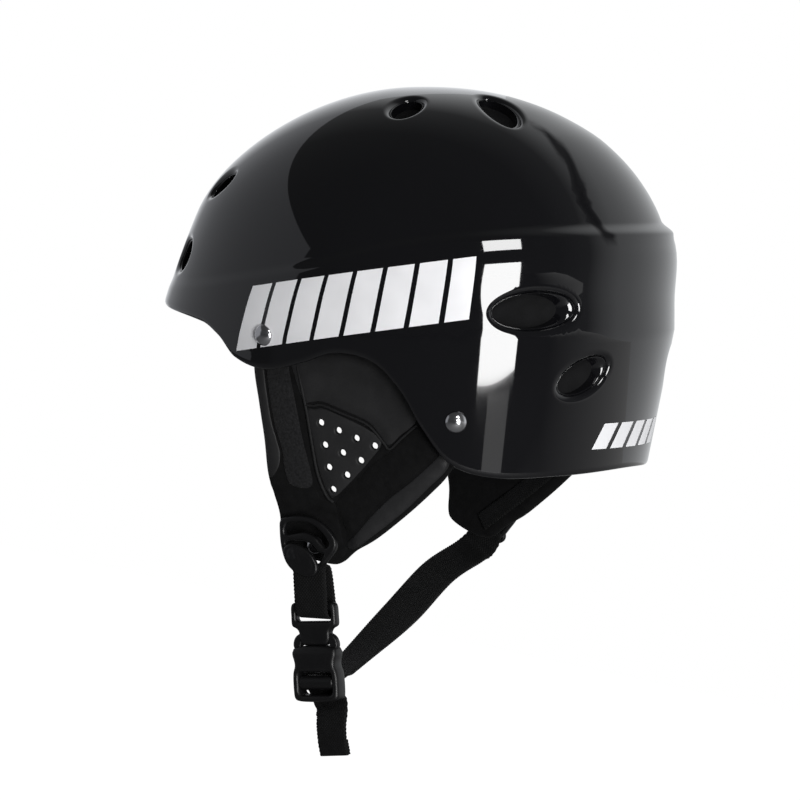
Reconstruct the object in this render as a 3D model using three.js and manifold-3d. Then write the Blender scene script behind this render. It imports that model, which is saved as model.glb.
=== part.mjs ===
// A water-sports helmet: a hard shell with a foam liner, comfort pads, two soft ear pads and a chin strap
// with a side-release buckle. Millimetres, +Z up, the front faces -Y and the wearer's left is +X.
// The origin is on the flat underside of the crown pad, where the top of the head touches.
import * as THREE from 'three';
import { mergeVertices } from 'three/addons/utils/BufferGeometryUtils.js';
import Module from 'manifold-3d';

const wasm = await Module();
wasm.setup();

// ---- Driving dimensions ----------------------------------------------------------------------------
const CROWN_TOP = 29.8;
// A wall profile: reach at its level, flare per mm below it, and the exponent that rounds the dome above.
const SIDE_PROFILE = { reach: 105, flare: 0, roundness: 2.0, level: -75, taper: 0.14 };
const FRONT_PROFILE = { reach: 111, flare: 0.404, roundness: 2.0, level: -30, taper: 0 };
const REAR_PROFILE = { reach: 125.5, flare: 0, roundness: 2.27, level: -77, taper: 0.21 };
const SKIRT_LEVEL = -85;

const SHELL_WALL = 3;
const LINER_OUTER = 4.2;
const LINER_INNER = 21.3;
const PAD_OUTER = 22.6;
const PAD_INNER = 30;
const LINER_RIM_LIFT = 2;
const CROWN_PAD = { halfWidth: 26, halfLength: 34 };
// A comfort pad's edge is this share of its full depth, and the exponent squares off its fullness.
const PAD_EDGE_SHARE = 0.45;
const PAD_SQUARENESS = 6;
const COMFORT_PADS = [
  { name: 'brow_pad', azimuths: [-24, 24], heights: [-68, -38] },
  { name: 'nape_pad', azimuths: [162, 198], heights: [-141, -117] },
  { name: 'side_pad_left', azimuths: [66, 106], heights: [-82, -46] },
  { name: 'side_pad_right', azimuths: [-106, -66], heights: [-82, -46] },
];

const WEBBING_WIDTH = 18;
const WEBBING = 1.4;
const GAP = 0.3;

const EAR_PAD_THICKNESS = 9;
const EAR_PANEL_THICKNESS = 1.4;
const PERFORATION_RADIUS = 1.6;
const FOLD_CLEARANCE = 3;

const RIVET_HEAD_RADIUS = 4.9;
const RIVET_SHANK_RADIUS = 2.4;
const RIVET_HOLE_RADIUS = 2.8;
const WASHER_RADIUS = 6;
// Depths below the shell's outer face: the ends of the shank and washer and the front of the anchor tab.
const RIVET_END = 8;
const WASHER_BACK = 6.9;
const WASHER_FRONT = 5.7;
const ANCHOR_BACK = 5.4;
const ANCHOR_BELOW = 14;
const ANCHOR_ABOVE = 8;

// Room in the liner: around the vents, behind each rivet and above each ear pad.
const VENT_MARGIN = 1;
const RIVET_POCKET = { size: [27, 58, 12], centre: [0, -14, -4] };
const EAR_NOTCH = { size: [110, 110, 60], centre: [14, -38.5, 0] };

// Lengths of the cutting tools, long enough to pass through the shell and the liner.
const VENT_TOOL = 64;
const RIVET_TOOL = 16;

// Grid of a dome: columns around it, rows above the belt and rows below.
const SHELL_GRID = { columns: 60, upper: 6, lower: 4 };
const LINER_GRID = { columns: 40, upper: 5, lower: 3 };

// Heights by azimuth: degrees from the front towards the side, then millimetres.
const RIM_OUTLINE = [
  [0, -72], [30, -75], [54, -80.5], [61, -87], [66, -96.5], [76, -101.7], [88, -98], [98, -93.3],
  [108, -97.5], [115, -111], [120, -127], [127, -143], [138, -149.8], [156, -150], [180, -148.5],
];
const BELT_LEVEL = [[0, -64], [47, -63], [68, -59], [87, -54], [114, -43], [140, -38], [180, -37]];
const BELT_HEIGHT = [[0, 0.5], [47, 0.6], [87, 1.5], [114, 3], [150, 4], [180, 4]];
const BELT_BEVEL = 6;
const BELT_FADE = 30;

// Vents of one side: azimuth, height, half length, half width and the tilt of the length from level.
const VENTS = [
  { azimuth: 33, height: -50, length: 13, width: 8, tilt: 0 },
  { azimuth: 38.5, height: -16, length: 11, width: 6.5, tilt: 20 },
  { azimuth: 111.6, height: 19.9, length: 11, width: 7.5, tilt: 90 },
  { azimuth: 158, height: 19, length: 18, width: 8, tilt: 90 },
  { azimuth: 146, height: -73.5, length: 20, width: 8.5, tilt: 3 },
  { azimuth: 159, height: -104, length: 14, width: 7.5, tilt: 26 },
];

const FRONT_RIVET = { azimuth: 77.2, height: -85.5 };
const REAR_RIVET = { azimuth: 128.6, height: -123.8 };

// The ear pad lies in a plane that turns towards the back and leans in towards the jaw.
const EAR_ORIGIN = new THREE.Vector3(85, 0, -105);
const EAR_YAW = THREE.MathUtils.degToRad(8.5);
const EAR_LEAN = THREE.MathUtils.degToRad(6.5);
const FOLD_FRONT = new THREE.Vector2(-37.5, 3);
const FOLD_REAR = new THREE.Vector2(60.5, -38);

// The chin assembly hangs from the centre of the left strap ring.
const RING_CENTRE = new THREE.Vector3(86.9, -8.5, -183);
const CHIN_TILT = THREE.MathUtils.degToRad(4);

const SIDES = [{ name: 'left', sign: 1 }, { name: 'right', sign: -1 }];

// ---- Materials -------------------------------------------------------------------------------------
function finish(color, roughness, metalness = 0) {
  return new THREE.MeshStandardMaterial({ color, roughness, metalness });
}

const glossShell = finish(0x0b0b0c, 0.08);
const blackFoam = finish(0x1a1a1b, 0.9);
const padFabric = finish(0x222223, 0.95);
const earFoam = finish(0x1b1b1c, 0.8);
const webbing = finish(0x141414, 0.85);
const buckleNylon = finish(0x101011, 0.45);
const chrome = finish(0xc9c9cc, 0.2, 1);

// ---- Geometry helpers ------------------------------------------------------------------------------
function clamp01(value) {
  return Math.min(1, Math.max(0, value));
}

function smooth(value) {
  const x = clamp01(value);
  return x * x * (3 - 2 * x);
}

// A smooth curve through [position, value] knots.
function through(knots, position) {
  let i = 0;
  while (i < knots.length - 2 && position > knots[i + 1][0]) i += 1;
  const [x0, y0] = knots[i];
  const [x1, y1] = knots[i + 1];
  const before = knots[Math.max(0, i - 1)];
  const after = knots[Math.min(knots.length - 1, i + 2)];
  const slope0 = i === 0 ? 0 : (y1 - before[1]) / (x1 - before[0]);
  const slope1 = i === knots.length - 2 ? 0 : (after[1] - y0) / (after[0] - x0);
  const t = (position - x0) / (x1 - x0);
  const span = x1 - x0;
  const rise = y1 - y0;
  const ease = t * t * (3 - 2 * t);
  return y0 + rise * ease + span * t * (1 - t) * (slope0 * (1 - t) - slope1 * t);
}

function signedVolume(geometry) {
  const p = geometry.getAttribute('position');
  const index = geometry.getIndex();
  const count = index ? index.count : p.count;
  const a = new THREE.Vector3();
  const b = new THREE.Vector3();
  const c = new THREE.Vector3();
  let volume = 0;
  for (let i = 0; i < count; i += 3) {
    const corner = (k) => (index ? index.getX(i + k) : i + k);
    a.fromBufferAttribute(p, corner(0));
    b.fromBufferAttribute(p, corner(1));
    c.fromBufferAttribute(p, corner(2));
    volume += a.dot(b.cross(c)) / 6;
  }
  return volume;
}

// One closed body with merged corners and its faces pointing out.
function closed(geometry) {
  const bare = geometry.clone();
  bare.deleteAttribute('normal');
  bare.deleteAttribute('uv');
  const merged = mergeVertices(bare, 1e-4);
  if (signedVolume(merged) < 0) {
    const index = merged.getIndex();
    for (let i = 0; i < index.count; i += 3) {
      const second = index.getX(i + 1);
      index.setX(i + 1, index.getX(i + 2));
      index.setX(i + 2, second);
    }
  }
  merged.computeVertexNormals();
  return merged;
}

function solid(geometry) {
  const body = closed(geometry);
  const vertProperties = new Float32Array(body.getAttribute('position').array);
  const triVerts = new Uint32Array(body.getIndex().array);
  return new wasm.Manifold(new wasm.Mesh({ numProp: 3, vertProperties, triVerts }));
}

function geometryOf(manifold) {
  const mesh = manifold.getMesh();
  const geometry = new THREE.BufferGeometry();
  geometry.setAttribute('position', new THREE.BufferAttribute(new Float32Array(mesh.vertProperties), 3));
  geometry.setIndex(new THREE.BufferAttribute(new Uint32Array(mesh.triVerts), 1));
  geometry.computeVertexNormals();
  return geometry;
}

function cut(geometry, tools) {
  let body = solid(geometry);
  for (const tool of tools) body = body.subtract(solid(tool));
  return geometryOf(body);
}

function join(geometries) {
  const [first, ...others] = geometries;
  let body = solid(first);
  for (const other of others) body = body.add(solid(other));
  return geometryOf(body);
}

function part(name, geometry, material) {
  const mesh = new THREE.Mesh(closed(geometry), material);
  mesh.name = name;
  return mesh;
}

function block(x, y, z, cx = 0, cy = 0, cz = 0) {
  return new THREE.BoxGeometry(x, y, z).translate(cx, cy, cz);
}

// A closed slab over a grid: point(u, v, side) with u and v from 0 to 1 and side 0 or 1.
function slab(across, along, point) {
  const positions = [];
  const faces = [];
  const at = (i, j, side) => side * (across + 1) * (along + 1) + j * (across + 1) + i;
  for (const side of [0, 1]) {
    for (let j = 0; j <= along; j += 1) {
      for (let i = 0; i <= across; i += 1) positions.push(...point(i / across, j / along, side));
    }
  }
  const quad = (a, b, c, d) => faces.push(a, b, c, a, c, d);
  for (let j = 0; j < along; j += 1) {
    for (let i = 0; i < across; i += 1) {
      quad(at(i, j, 0), at(i + 1, j, 0), at(i + 1, j + 1, 0), at(i, j + 1, 0));
      quad(at(i, j, 1), at(i, j + 1, 1), at(i + 1, j + 1, 1), at(i + 1, j, 1));
    }
  }
  for (let i = 0; i < across; i += 1) {
    quad(at(i + 1, 0, 0), at(i, 0, 0), at(i, 0, 1), at(i + 1, 0, 1));
    quad(at(i, along, 0), at(i + 1, along, 0), at(i + 1, along, 1), at(i, along, 1));
  }
  for (let j = 0; j < along; j += 1) {
    quad(at(0, j, 0), at(0, j + 1, 0), at(0, j + 1, 1), at(0, j, 1));
    quad(at(across, j + 1, 0), at(across, j, 0), at(across, j, 1), at(across, j + 1, 1));
  }
  const geometry = new THREE.BufferGeometry();
  geometry.setAttribute('position', new THREE.Float32BufferAttribute(positions, 3));
  geometry.setIndex(faces);
  return geometry;
}

// A flat strip of webbing along a curve; widthAt(u) gives the direction of its width.
function ribbon(curve, steps, width, thickness, widthAt) {
  return slab(1, steps, (v, u, side) => {
    const centre = curve.getPoint(u);
    const along = curve.getTangent(u);
    const across = widthAt(u).clone();
    across.addScaledVector(along, -across.dot(along)).normalize();
    const face = new THREE.Vector3().crossVectors(along, across);
    centre.addScaledVector(across, (v - 0.5) * width);
    centre.addScaledVector(face, (side - 0.5) * thickness);
    return centre.toArray();
  });
}

// An outline pushed to a depth; the outline may run either way round, and its holes run clockwise.
function extrude(points, holes, depth, from) {
  const outline = points.map(([x, y]) => new THREE.Vector2(x, y));
  if (THREE.ShapeUtils.isClockWise(outline)) outline.reverse();
  const shape = new THREE.Shape(outline);
  for (const hole of holes) shape.holes.push(hole);
  const body = new THREE.ExtrudeGeometry(shape, { depth, bevelEnabled: false, curveSegments: 4 });
  return body.translate(0, 0, from);
}

function roundHole(x, y, radius) {
  return new THREE.Path().absarc(x, y, radius, 0, 2 * Math.PI, true);
}

// ---- The dome --------------------------------------------------------------------------------------
function reachOf(profile, z, inset) {
  const top = CROWN_TOP - inset;
  const u = clamp01((z - profile.level) / (top - profile.level));
  const reach = profile.reach - inset + profile.flare * (profile.level - z);
  const dome = reach * (1 - u ** profile.roundness) ** (1 / profile.roundness);
  return dome - profile.taper * Math.max(0, SKIRT_LEVEL - z);
}

function beltAt(azimuth, z) {
  const side = Math.abs(azimuth);
  const level = through(BELT_LEVEL, side);
  const rise = smooth((level + BELT_BEVEL / 2 - z) / BELT_BEVEL);
  const fade = 1 - smooth((level - BELT_BEVEL - z) / BELT_FADE);
  return through(BELT_HEIGHT, side) * rise * fade;
}

// A point of the dome at an azimuth in degrees, a height, and a depth below the outer surface.
function domePoint(azimuth, z, inset, belt = 0) {
  const angle = THREE.MathUtils.degToRad(azimuth);
  const side = reachOf(SIDE_PROFILE, z, inset);
  const lengthwise = reachOf(Math.cos(angle) > 0 ? FRONT_PROFILE : REAR_PROFILE, z, inset);
  const reach = Math.hypot(lengthwise * Math.sin(angle), side * Math.cos(angle));
  const radius = (reach > 0 ? (side * lengthwise) / reach : 0) + belt * beltAt(azimuth, z);
  return new THREE.Vector3(radius * Math.sin(angle), -radius * Math.cos(angle), z);
}

function domeNormal(azimuth, z) {
  const centre = domePoint(azimuth, z, 0);
  const ahead = domePoint(azimuth + 0.5, z, 0).sub(centre);
  const above = domePoint(azimuth, z + 0.5, 0).sub(centre);
  return ahead.cross(above).normalize();
}

// A frame on the dome: X along the level, Y up the wall and Z out of it.
function domeFrame(azimuth, z) {
  const out = domeNormal(azimuth, z);
  const level = new THREE.Vector3(out.x, out.y, 0).normalize();
  const across = new THREE.Vector3(-level.y, level.x, 0);
  const up = new THREE.Vector3().crossVectors(out, across);
  return new THREE.Matrix4().makeBasis(across, up, out).setPosition(domePoint(azimuth, z, 0));
}

function rimAt(azimuth) {
  return through(RIM_OUTLINE, Math.abs(azimuth));
}

// Heights of the grid rows at one azimuth: finer at the crown, two rows at the belt, then down to the rim.
function rowHeights(azimuth, top, rim, upper, lower) {
  const shoulder = through(BELT_LEVEL, Math.abs(azimuth)) + BELT_BEVEL / 2;
  const heights = [];
  for (let i = 1; i <= upper; i += 1) {
    heights.push(top - (top - shoulder) * (1 - Math.cos((Math.PI / 2) * (i / upper))));
  }
  const below = shoulder - BELT_BEVEL;
  for (let i = 0; i <= lower; i += 1) heights.push(below + (rim - below) * (i / lower));
  return heights;
}

// A closed dome between two depths, open underneath.
function dome(outerInset, innerInset, rimLift, belt, { columns, upper, lower }) {
  const positions = [];
  const faces = [];
  const rows = upper + lower + 1;
  const stride = 1 + rows * columns;
  for (const inset of [outerInset, innerInset]) {
    const top = CROWN_TOP - inset;
    positions.push(0, 0, top);
    const heights = [];
    const azimuths = [];
    for (let c = 0; c < columns; c += 1) {
      const azimuth = (360 * c) / columns;
      azimuths.push(azimuth > 180 ? azimuth - 360 : azimuth);
      heights.push(rowHeights(azimuths[c], top, rimAt(azimuths[c]) + rimLift, upper, lower));
    }
    for (let r = 0; r < rows; r += 1) {
      for (let c = 0; c < columns; c += 1) {
        positions.push(...domePoint(azimuths[c], heights[c][r], inset, belt).toArray());
      }
    }
  }
  const at = (layer, r, c) => layer * stride + 1 + r * columns + (c % columns);
  const quad = (a, b, c, d) => faces.push(a, b, c, a, c, d);
  for (let c = 0; c < columns; c += 1) {
    faces.push(0, at(0, 0, c), at(0, 0, c + 1));
    faces.push(stride, at(1, 0, c + 1), at(1, 0, c));
    for (let r = 0; r < rows - 1; r += 1) {
      quad(at(0, r, c), at(0, r + 1, c), at(0, r + 1, c + 1), at(0, r, c + 1));
      quad(at(1, r, c), at(1, r, c + 1), at(1, r + 1, c + 1), at(1, r + 1, c));
    }
    quad(at(0, rows - 1, c + 1), at(0, rows - 1, c), at(1, rows - 1, c), at(1, rows - 1, c + 1));
  }
  const geometry = new THREE.BufferGeometry();
  geometry.setAttribute('position', new THREE.Float32BufferAttribute(positions, 3));
  geometry.setIndex(faces);
  return geometry;
}

// ---- The shell and the liner -----------------------------------------------------------------------
function ventTools(margin) {
  const tools = [];
  for (const vent of VENTS) {
    for (const { sign } of SIDES) {
      const tool = new THREE.CylinderGeometry(1, 1, VENT_TOOL, 14).rotateX(Math.PI / 2);
      tool.scale(vent.length + margin, vent.width + margin, 1);
      tool.rotateZ(THREE.MathUtils.degToRad(vent.tilt * sign));
      tools.push(tool.applyMatrix4(domeFrame(vent.azimuth * sign, vent.height)));
    }
  }
  return tools;
}

function rivetFrames() {
  const frames = [];
  for (const [place, spot] of Object.entries({ front: FRONT_RIVET, rear: REAR_RIVET })) {
    for (const { name, sign } of SIDES) {
      frames.push({ name: `${place}_${name}`, frame: domeFrame(spot.azimuth * sign, spot.height) });
    }
  }
  return frames;
}

function outerShell() {
  const tools = ventTools(0);
  for (const { frame } of rivetFrames()) {
    const hole = new THREE.CylinderGeometry(RIVET_HOLE_RADIUS, RIVET_HOLE_RADIUS, RIVET_TOOL, 10);
    tools.push(hole.rotateX(Math.PI / 2).applyMatrix4(frame));
  }
  const body = dome(0, SHELL_WALL, 0, 1, SHELL_GRID);
  return part('outer_shell', cut(body, tools), glossShell);
}

function liner() {
  const tools = ventTools(VENT_MARGIN);
  const room = ({ size, centre }) => block(...size, ...centre);
  for (const { frame } of rivetFrames()) tools.push(room(RIVET_POCKET).applyMatrix4(frame));
  for (const side of SIDES) tools.push(room(EAR_NOTCH).applyMatrix4(earFrame(side)));
  const body = dome(LINER_OUTER, LINER_INNER, LINER_RIM_LIFT, 0, LINER_GRID);
  return part('eva_liner', cut(body, tools), blackFoam);
}

// A comfort pad on the inside of the liner, thinner towards its edges.
function comfortPad({ name, azimuths, heights }) {
  const geometry = slab(6, 4, (u, v, side) => {
    const azimuth = THREE.MathUtils.lerp(azimuths[0], azimuths[1], u);
    const z = THREE.MathUtils.lerp(heights[0], heights[1], v);
    const fullness = (1 - (2 * u - 1) ** PAD_SQUARENESS) * (1 - (2 * v - 1) ** PAD_SQUARENESS);
    const depth = (PAD_INNER - PAD_OUTER) * THREE.MathUtils.lerp(PAD_EDGE_SHARE, 1, fullness);
    return domePoint(azimuth, z, side ? PAD_OUTER + depth : PAD_OUTER).toArray();
  });
  return part(name, geometry, padFabric);
}

// The crown pad: domed on top, flat underneath.
function crownPadMesh() {
  const geometry = slab(6, 8, (u, v, side) => {
    const a = 2 * u - 1;
    const b = 2 * v - 1;
    const x = CROWN_PAD.halfWidth * a * Math.sqrt(1 - (b * b) / 2);
    const y = CROWN_PAD.halfLength * b * Math.sqrt(1 - (a * a) / 2);
    return [x, y, side ? padCeiling(x, y) : 0];
  });
  return part('crown_pad', geometry, padFabric);
}

// How far below its top the liner's underside is searched for.
const CEILING_SEARCH = 27.2;

// Height of the liner's underside above a point of the crown pad.
function padCeiling(x, y) {
  const profile = y > 0 ? REAR_PROFILE : FRONT_PROFILE;
  const share = (reach, outline, z) => reach / reachOf(outline, z, PAD_OUTER);
  const inside = (z) => Math.hypot(share(x, SIDE_PROFILE, z), share(y, profile, z)) < 1;
  let low = CROWN_TOP - PAD_OUTER - CEILING_SEARCH;
  let high = CROWN_TOP - PAD_OUTER;
  for (let halving = 0; halving < 30; halving += 1) {
    const middle = (low + high) / 2;
    if (inside(middle)) low = middle;
    else high = middle;
  }
  return low;
}

// ---- Rivets and strap anchors ----------------------------------------------------------------------
// A body turned about the rivet's axis from [radius, height above the shell] corners.
function turned(profile) {
  const points = profile.map(([radius, height]) => new THREE.Vector2(radius, height));
  return new THREE.LatheGeometry(points, 12).rotateX(Math.PI / 2);
}

function rivetHead() {
  const underside = 0.35;
  return turned([
    [0, -RIVET_END], [RIVET_SHANK_RADIUS, -RIVET_END],
    [RIVET_SHANK_RADIUS, underside], [RIVET_HEAD_RADIUS, underside],
    [RIVET_HEAD_RADIUS, 0.9], [4.2, 1.9], [2.7, 2.7], [1.2, 3.05], [0, 3.1],
  ]);
}

function washer() {
  return turned([
    [RIVET_HOLE_RADIUS, -WASHER_BACK], [WASHER_RADIUS, -WASHER_BACK],
    [WASHER_RADIUS, -WASHER_FRONT], [RIVET_HOLE_RADIUS, -WASHER_FRONT],
    [RIVET_HOLE_RADIUS, -WASHER_BACK],
  ]);
}

function anchorTab() {
  const half = WEBBING_WIDTH / 2;
  const outline = [
    [-half, -ANCHOR_BELOW], [half, -ANCHOR_BELOW], [half, ANCHOR_ABOVE], [-half, ANCHOR_ABOVE],
  ];
  return extrude(outline, [roundHole(0, 0, RIVET_HOLE_RADIUS)], WEBBING, -ANCHOR_BACK);
}

function fastenings() {
  const group = new THREE.Group();
  for (const { name, frame } of rivetFrames()) {
    const place = new THREE.Group();
    place.applyMatrix4(frame);
    place.add(part(`rivet_${name}`, rivetHead(), chrome));
    place.add(part(`rivet_washer_${name}`, washer(), chrome));
    place.add(part(`strap_anchor_${name}`, anchorTab(), webbing));
    group.add(place);
  }
  return group;
}

// ---- Ear pads --------------------------------------------------------------------------------------
// Local frame of an ear pad: X to the back, Y up in its plane and Z outwards on the left, inwards on the
// right.
function earFrame({ sign }) {
  const back = new THREE.Vector3(-sign * Math.sin(EAR_YAW), Math.cos(EAR_YAW), 0);
  const up = new THREE.Vector3(
    sign * Math.sin(EAR_LEAN) * Math.cos(EAR_YAW),
    Math.sin(EAR_LEAN) * Math.sin(EAR_YAW),
    Math.cos(EAR_LEAN),
  );
  const normal = new THREE.Vector3().crossVectors(back, up);
  const origin = new THREE.Vector3(sign * EAR_ORIGIN.x, EAR_ORIGIN.y, EAR_ORIGIN.z);
  return new THREE.Matrix4().makeBasis(back, up, normal).setPosition(origin);
}

// A point beside the fold line: a share of its length and a distance above it.
function beside(share, above) {
  const along = new THREE.Vector2().subVectors(FOLD_REAR, FOLD_FRONT).normalize();
  const point = new THREE.Vector2().lerpVectors(FOLD_FRONT, FOLD_REAR, share);
  return [point.x - along.y * above, point.y + along.x * above];
}

// A triangle of holes: the first one, the step along a row and the step down to the next, shorter row.
const PERFORATION_ROWS = 4;
const FIRST_PERFORATION = new THREE.Vector2(-2.9, -20.7);
const ALONG_ROW = new THREE.Vector2(8.7, -3.4);
const DOWN_ROWS = new THREE.Vector2(1.5, -10.4);

function perforations() {
  const holes = [];
  for (let row = 0; row < PERFORATION_ROWS; row += 1) {
    for (let i = 0; i < PERFORATION_ROWS - row; i += 1) {
      const centre = FIRST_PERFORATION.clone().addScaledVector(ALONG_ROW, i);
      centre.addScaledVector(DOWN_ROWS, row);
      holes.push(roundHole(centre.x, centre.y, PERFORATION_RADIUS));
    }
  }
  return holes;
}

function lowerEarPad() {
  const outline = [
    beside(0.02, -FOLD_CLEARANCE), [-36, -14], [-34.1, -31], [-32.5, -48], [-28.5, -58], [-27, -68],
    [-26.5, -77], [-22, -82], [-10, -86.5], [-1.7, -88.5], [4, -87], [20.4, -75.8], [34.7, -64], [47, -53],
    [56, -44], beside(0.97, -FOLD_CLEARANCE),
  ];
  return extrude(outline, perforations(), EAR_PAD_THICKNESS, -EAR_PAD_THICKNESS / 2);
}

function upperEarPad() {
  const outline = [
    beside(0.03, GAP), beside(0.93, GAP), [54, -22], [46, -6], [32, 8], [14, 14], [-14, 14], [-34, 12],
  ];
  return extrude(outline, [], EAR_PAD_THICKNESS, -EAR_PAD_THICKNESS / 2);
}

function earPanel() {
  const outline = [[-7, -15.5], [-6.5, -38], [-1.5, -57], [3.5, -57], [13, -47], [28, -33], [26.5, -28.5]];
  return extrude(outline, perforations(), EAR_PANEL_THICKNESS, EAR_PAD_THICKNESS / 2 + GAP);
}

function frontStrap() {
  const outline = [[-28.5, -4.5], [-11, -11.5], [-8.6, -30], [-4, -62], [-17, -62], [-26, -30]];
  return extrude(outline, [], WEBBING, EAR_PAD_THICKNESS / 2 + GAP);
}

function rearStrap() {
  const outline = [[54, -43], [58, -38], [50, -34.5], [0, -74], [-8, -84]];
  return extrude(outline, [], WEBBING, -EAR_PAD_THICKNESS / 2 - GAP - WEBBING);
}

function earFlap(side) {
  const group = new THREE.Group();
  group.applyMatrix4(earFrame(side));
  const pieces = [
    ['ear_pad', lowerEarPad(), earFoam],
    ['ear_pad_top', upperEarPad(), earFoam],
    ['ear_panel', earPanel(), earFoam],
    ['front_strap', frontStrap(), webbing],
    ['rear_strap', rearStrap(), webbing],
  ];
  for (const [name, geometry, material] of pieces) {
    group.add(part(`${name}_${side.name}`, geometry.scale(1, 1, side.sign), material));
  }
  return group;
}

// ---- Strap rings -----------------------------------------------------------------------------------
// Local frame of a ring: X outwards, Y to the back and Z up, with the origin at its centre.
const RING_THICKNESS = 3.4;
const BADGE_THICKNESS = 2.6;
const RING_INNER_FACE = -0.9;
const RING_OUTLINE = [
  [-10.5, 9], [-5, 12.5], [4, 12], [10, 8], [13, 1], [11, -6], [4, -12], [-5, -12.5], [-11, -7.5], [-13, 1],
];
const RING_SLOT = [[-7.5, 8.5], [6, 8.5], [7, 5.5], [-9, 5.5]];
const BADGE = { length: 12, width: 6.5, tilt: THREE.MathUtils.degToRad(-38), centre: [-1, -2.5] };
const RING_STUD = { radius: 4, length: 2.2, centre: [-2.5, 0, 1] };

function standing(geometry) {
  return geometry.applyMatrix4(new THREE.Matrix4().makeBasis(
    new THREE.Vector3(0, 1, 0), new THREE.Vector3(0, 0, 1), new THREE.Vector3(1, 0, 0),
  ));
}

function strapRing() {
  const slot = new THREE.Path(RING_SLOT.map(([x, y]) => new THREE.Vector2(x, y)));
  return standing(extrude(RING_OUTLINE, [slot], RING_THICKNESS, RING_INNER_FACE));
}

function ringBadge() {
  const lens = new THREE.CylinderGeometry(1, 1, BADGE_THICKNESS, 16).rotateX(Math.PI / 2);
  lens.scale(BADGE.length, BADGE.width, 1).rotateZ(BADGE.tilt);
  const depth = RING_INNER_FACE + RING_THICKNESS + GAP + BADGE_THICKNESS / 2;
  return standing(lens.translate(...BADGE.centre, depth));
}

function ringStud() {
  const { radius, length, centre } = RING_STUD;
  return new THREE.CylinderGeometry(radius, radius, length, 12).rotateZ(Math.PI / 2).translate(...centre);
}

function ringSet(side) {
  const group = new THREE.Group();
  group.position.set(side.sign * RING_CENTRE.x, RING_CENTRE.y, RING_CENTRE.z);
  const pieces = [
    ['ring_stud', ringStud(), chrome],
    ['strap_ring', strapRing(), buckleNylon],
    ['ring_badge', ringBadge(), buckleNylon],
  ];
  for (const [name, geometry, material] of pieces) {
    group.add(part(`${name}_${side.name}`, geometry.scale(side.sign, 1, 1), material));
  }
  return group;
}

// ---- Chin strap and buckle -------------------------------------------------------------------------
// Local frame: X outwards, Y to the back, Z up the strap, with the origin at the left ring's centre.
const STRAP_TOP = -13.5;
const FRAME_TOP = -27;
const FRAME_BOTTOM = -38.5;
const SOCKET_TOP = -47.5;
const SOCKET_BOTTOM = -71;
const BUCKLE_WIDTH = 23.5;
const PLUG_THICKNESS = 5;
const SOCKET_THICKNESS = 9.5;
const PRONG_ROOT = 7;
const PRONG_THICKNESS = 4;
const TAIL_TOP = -72.3;
const TAIL_BOTTOM = -97;
// Room for the webbing in the buckle; a through cut is deeper than any part of it.
const BUCKLE_SLOT_WIDTH = WEBBING_WIDTH + 1;
const THROUGH = 20;
const STRAP_SLOT = 2.4;
// The cavity of the socket and the height of its side windows.
const CAVITY = { depth: 5.4, width: 19.6, height: 16, middle: SOCKET_TOP - 6.2 };
const SIDE_WINDOW = { width: 40, height: 7.6, middle: -55.2 };
const LADDER_WINDOW = { height: 4, middle: -63.6 };
const LADDER_SLOT_MIDDLE = -68;

function leftChinStrap() {
  const bottom = FRAME_TOP - GAP;
  return block(WEBBING, WEBBING_WIDTH, STRAP_TOP - bottom, 0, 0, (STRAP_TOP + bottom) / 2);
}

function bucklePlug() {
  const middle = (FRAME_TOP + FRAME_BOTTOM) / 2;
  const frame = block(PLUG_THICKNESS, BUCKLE_WIDTH, FRAME_TOP - FRAME_BOTTOM, 0, 0, middle);
  const neck = block(PLUG_THICKNESS, 19, 3, 0, 0, FRAME_BOTTOM - 1);
  const tongue = block(3, 5, 20, 0, 0, FRAME_BOTTOM - 12);
  const slot = block(STRAP_SLOT, BUCKLE_SLOT_WIDTH, THROUGH, 0, 0, FRAME_TOP);
  const window = block(THROUGH, BUCKLE_SLOT_WIDTH, 4, 0, 0, middle + 1.5);
  return cut(join([frame, neck, tongue]), [slot, window]);
}

// One springy arm with a barb that catches in the side window of the socket.
function prong(direction) {
  const outline = [
    [PRONG_ROOT - 2, -41.6], [PRONG_ROOT + 2.5, -41.6], [PRONG_ROOT + 2.9, -45.5], [PRONG_ROOT + 1.5, -50],
    [PRONG_ROOT + 4, -53.5], [PRONG_ROOT + 2.2, -58], [PRONG_ROOT - 1, -60], [PRONG_ROOT - 1.6, -52],
  ];
  const arm = extrude(outline, [], PRONG_THICKNESS, -PRONG_THICKNESS / 2);
  return standing(arm.scale(direction, 1, 1));
}

function buckleSocket() {
  const height = SOCKET_TOP - SOCKET_BOTTOM;
  const body = block(SOCKET_THICKNESS, BUCKLE_WIDTH, height, 0, 0, SOCKET_BOTTOM + height / 2);
  const cavity = block(CAVITY.depth, CAVITY.width, CAVITY.height, 0, 0, CAVITY.middle);
  const { width, height: tall, middle } = SIDE_WINDOW;
  const sideWindows = block(CAVITY.depth, width, tall, 0, 0, middle);
  const ladder = block(THROUGH, WEBBING_WIDTH, LADDER_WINDOW.height, 0, 0, LADDER_WINDOW.middle);
  const lowerSlot = block(THROUGH, WEBBING_WIDTH, STRAP_SLOT, 0, 0, LADDER_SLOT_MIDDLE);
  return cut(body, [cavity, sideWindows, ladder, lowerSlot]);
}

function strapTail() {
  const half = WEBBING_WIDTH / 2;
  const outline = [[-half, TAIL_TOP], [half, TAIL_TOP], [half, TAIL_BOTTOM], [-half, TAIL_BOTTOM + 2]];
  return standing(extrude(outline, [], WEBBING, -WEBBING / 2)).translate(0.5, 2.5, 0);
}

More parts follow.
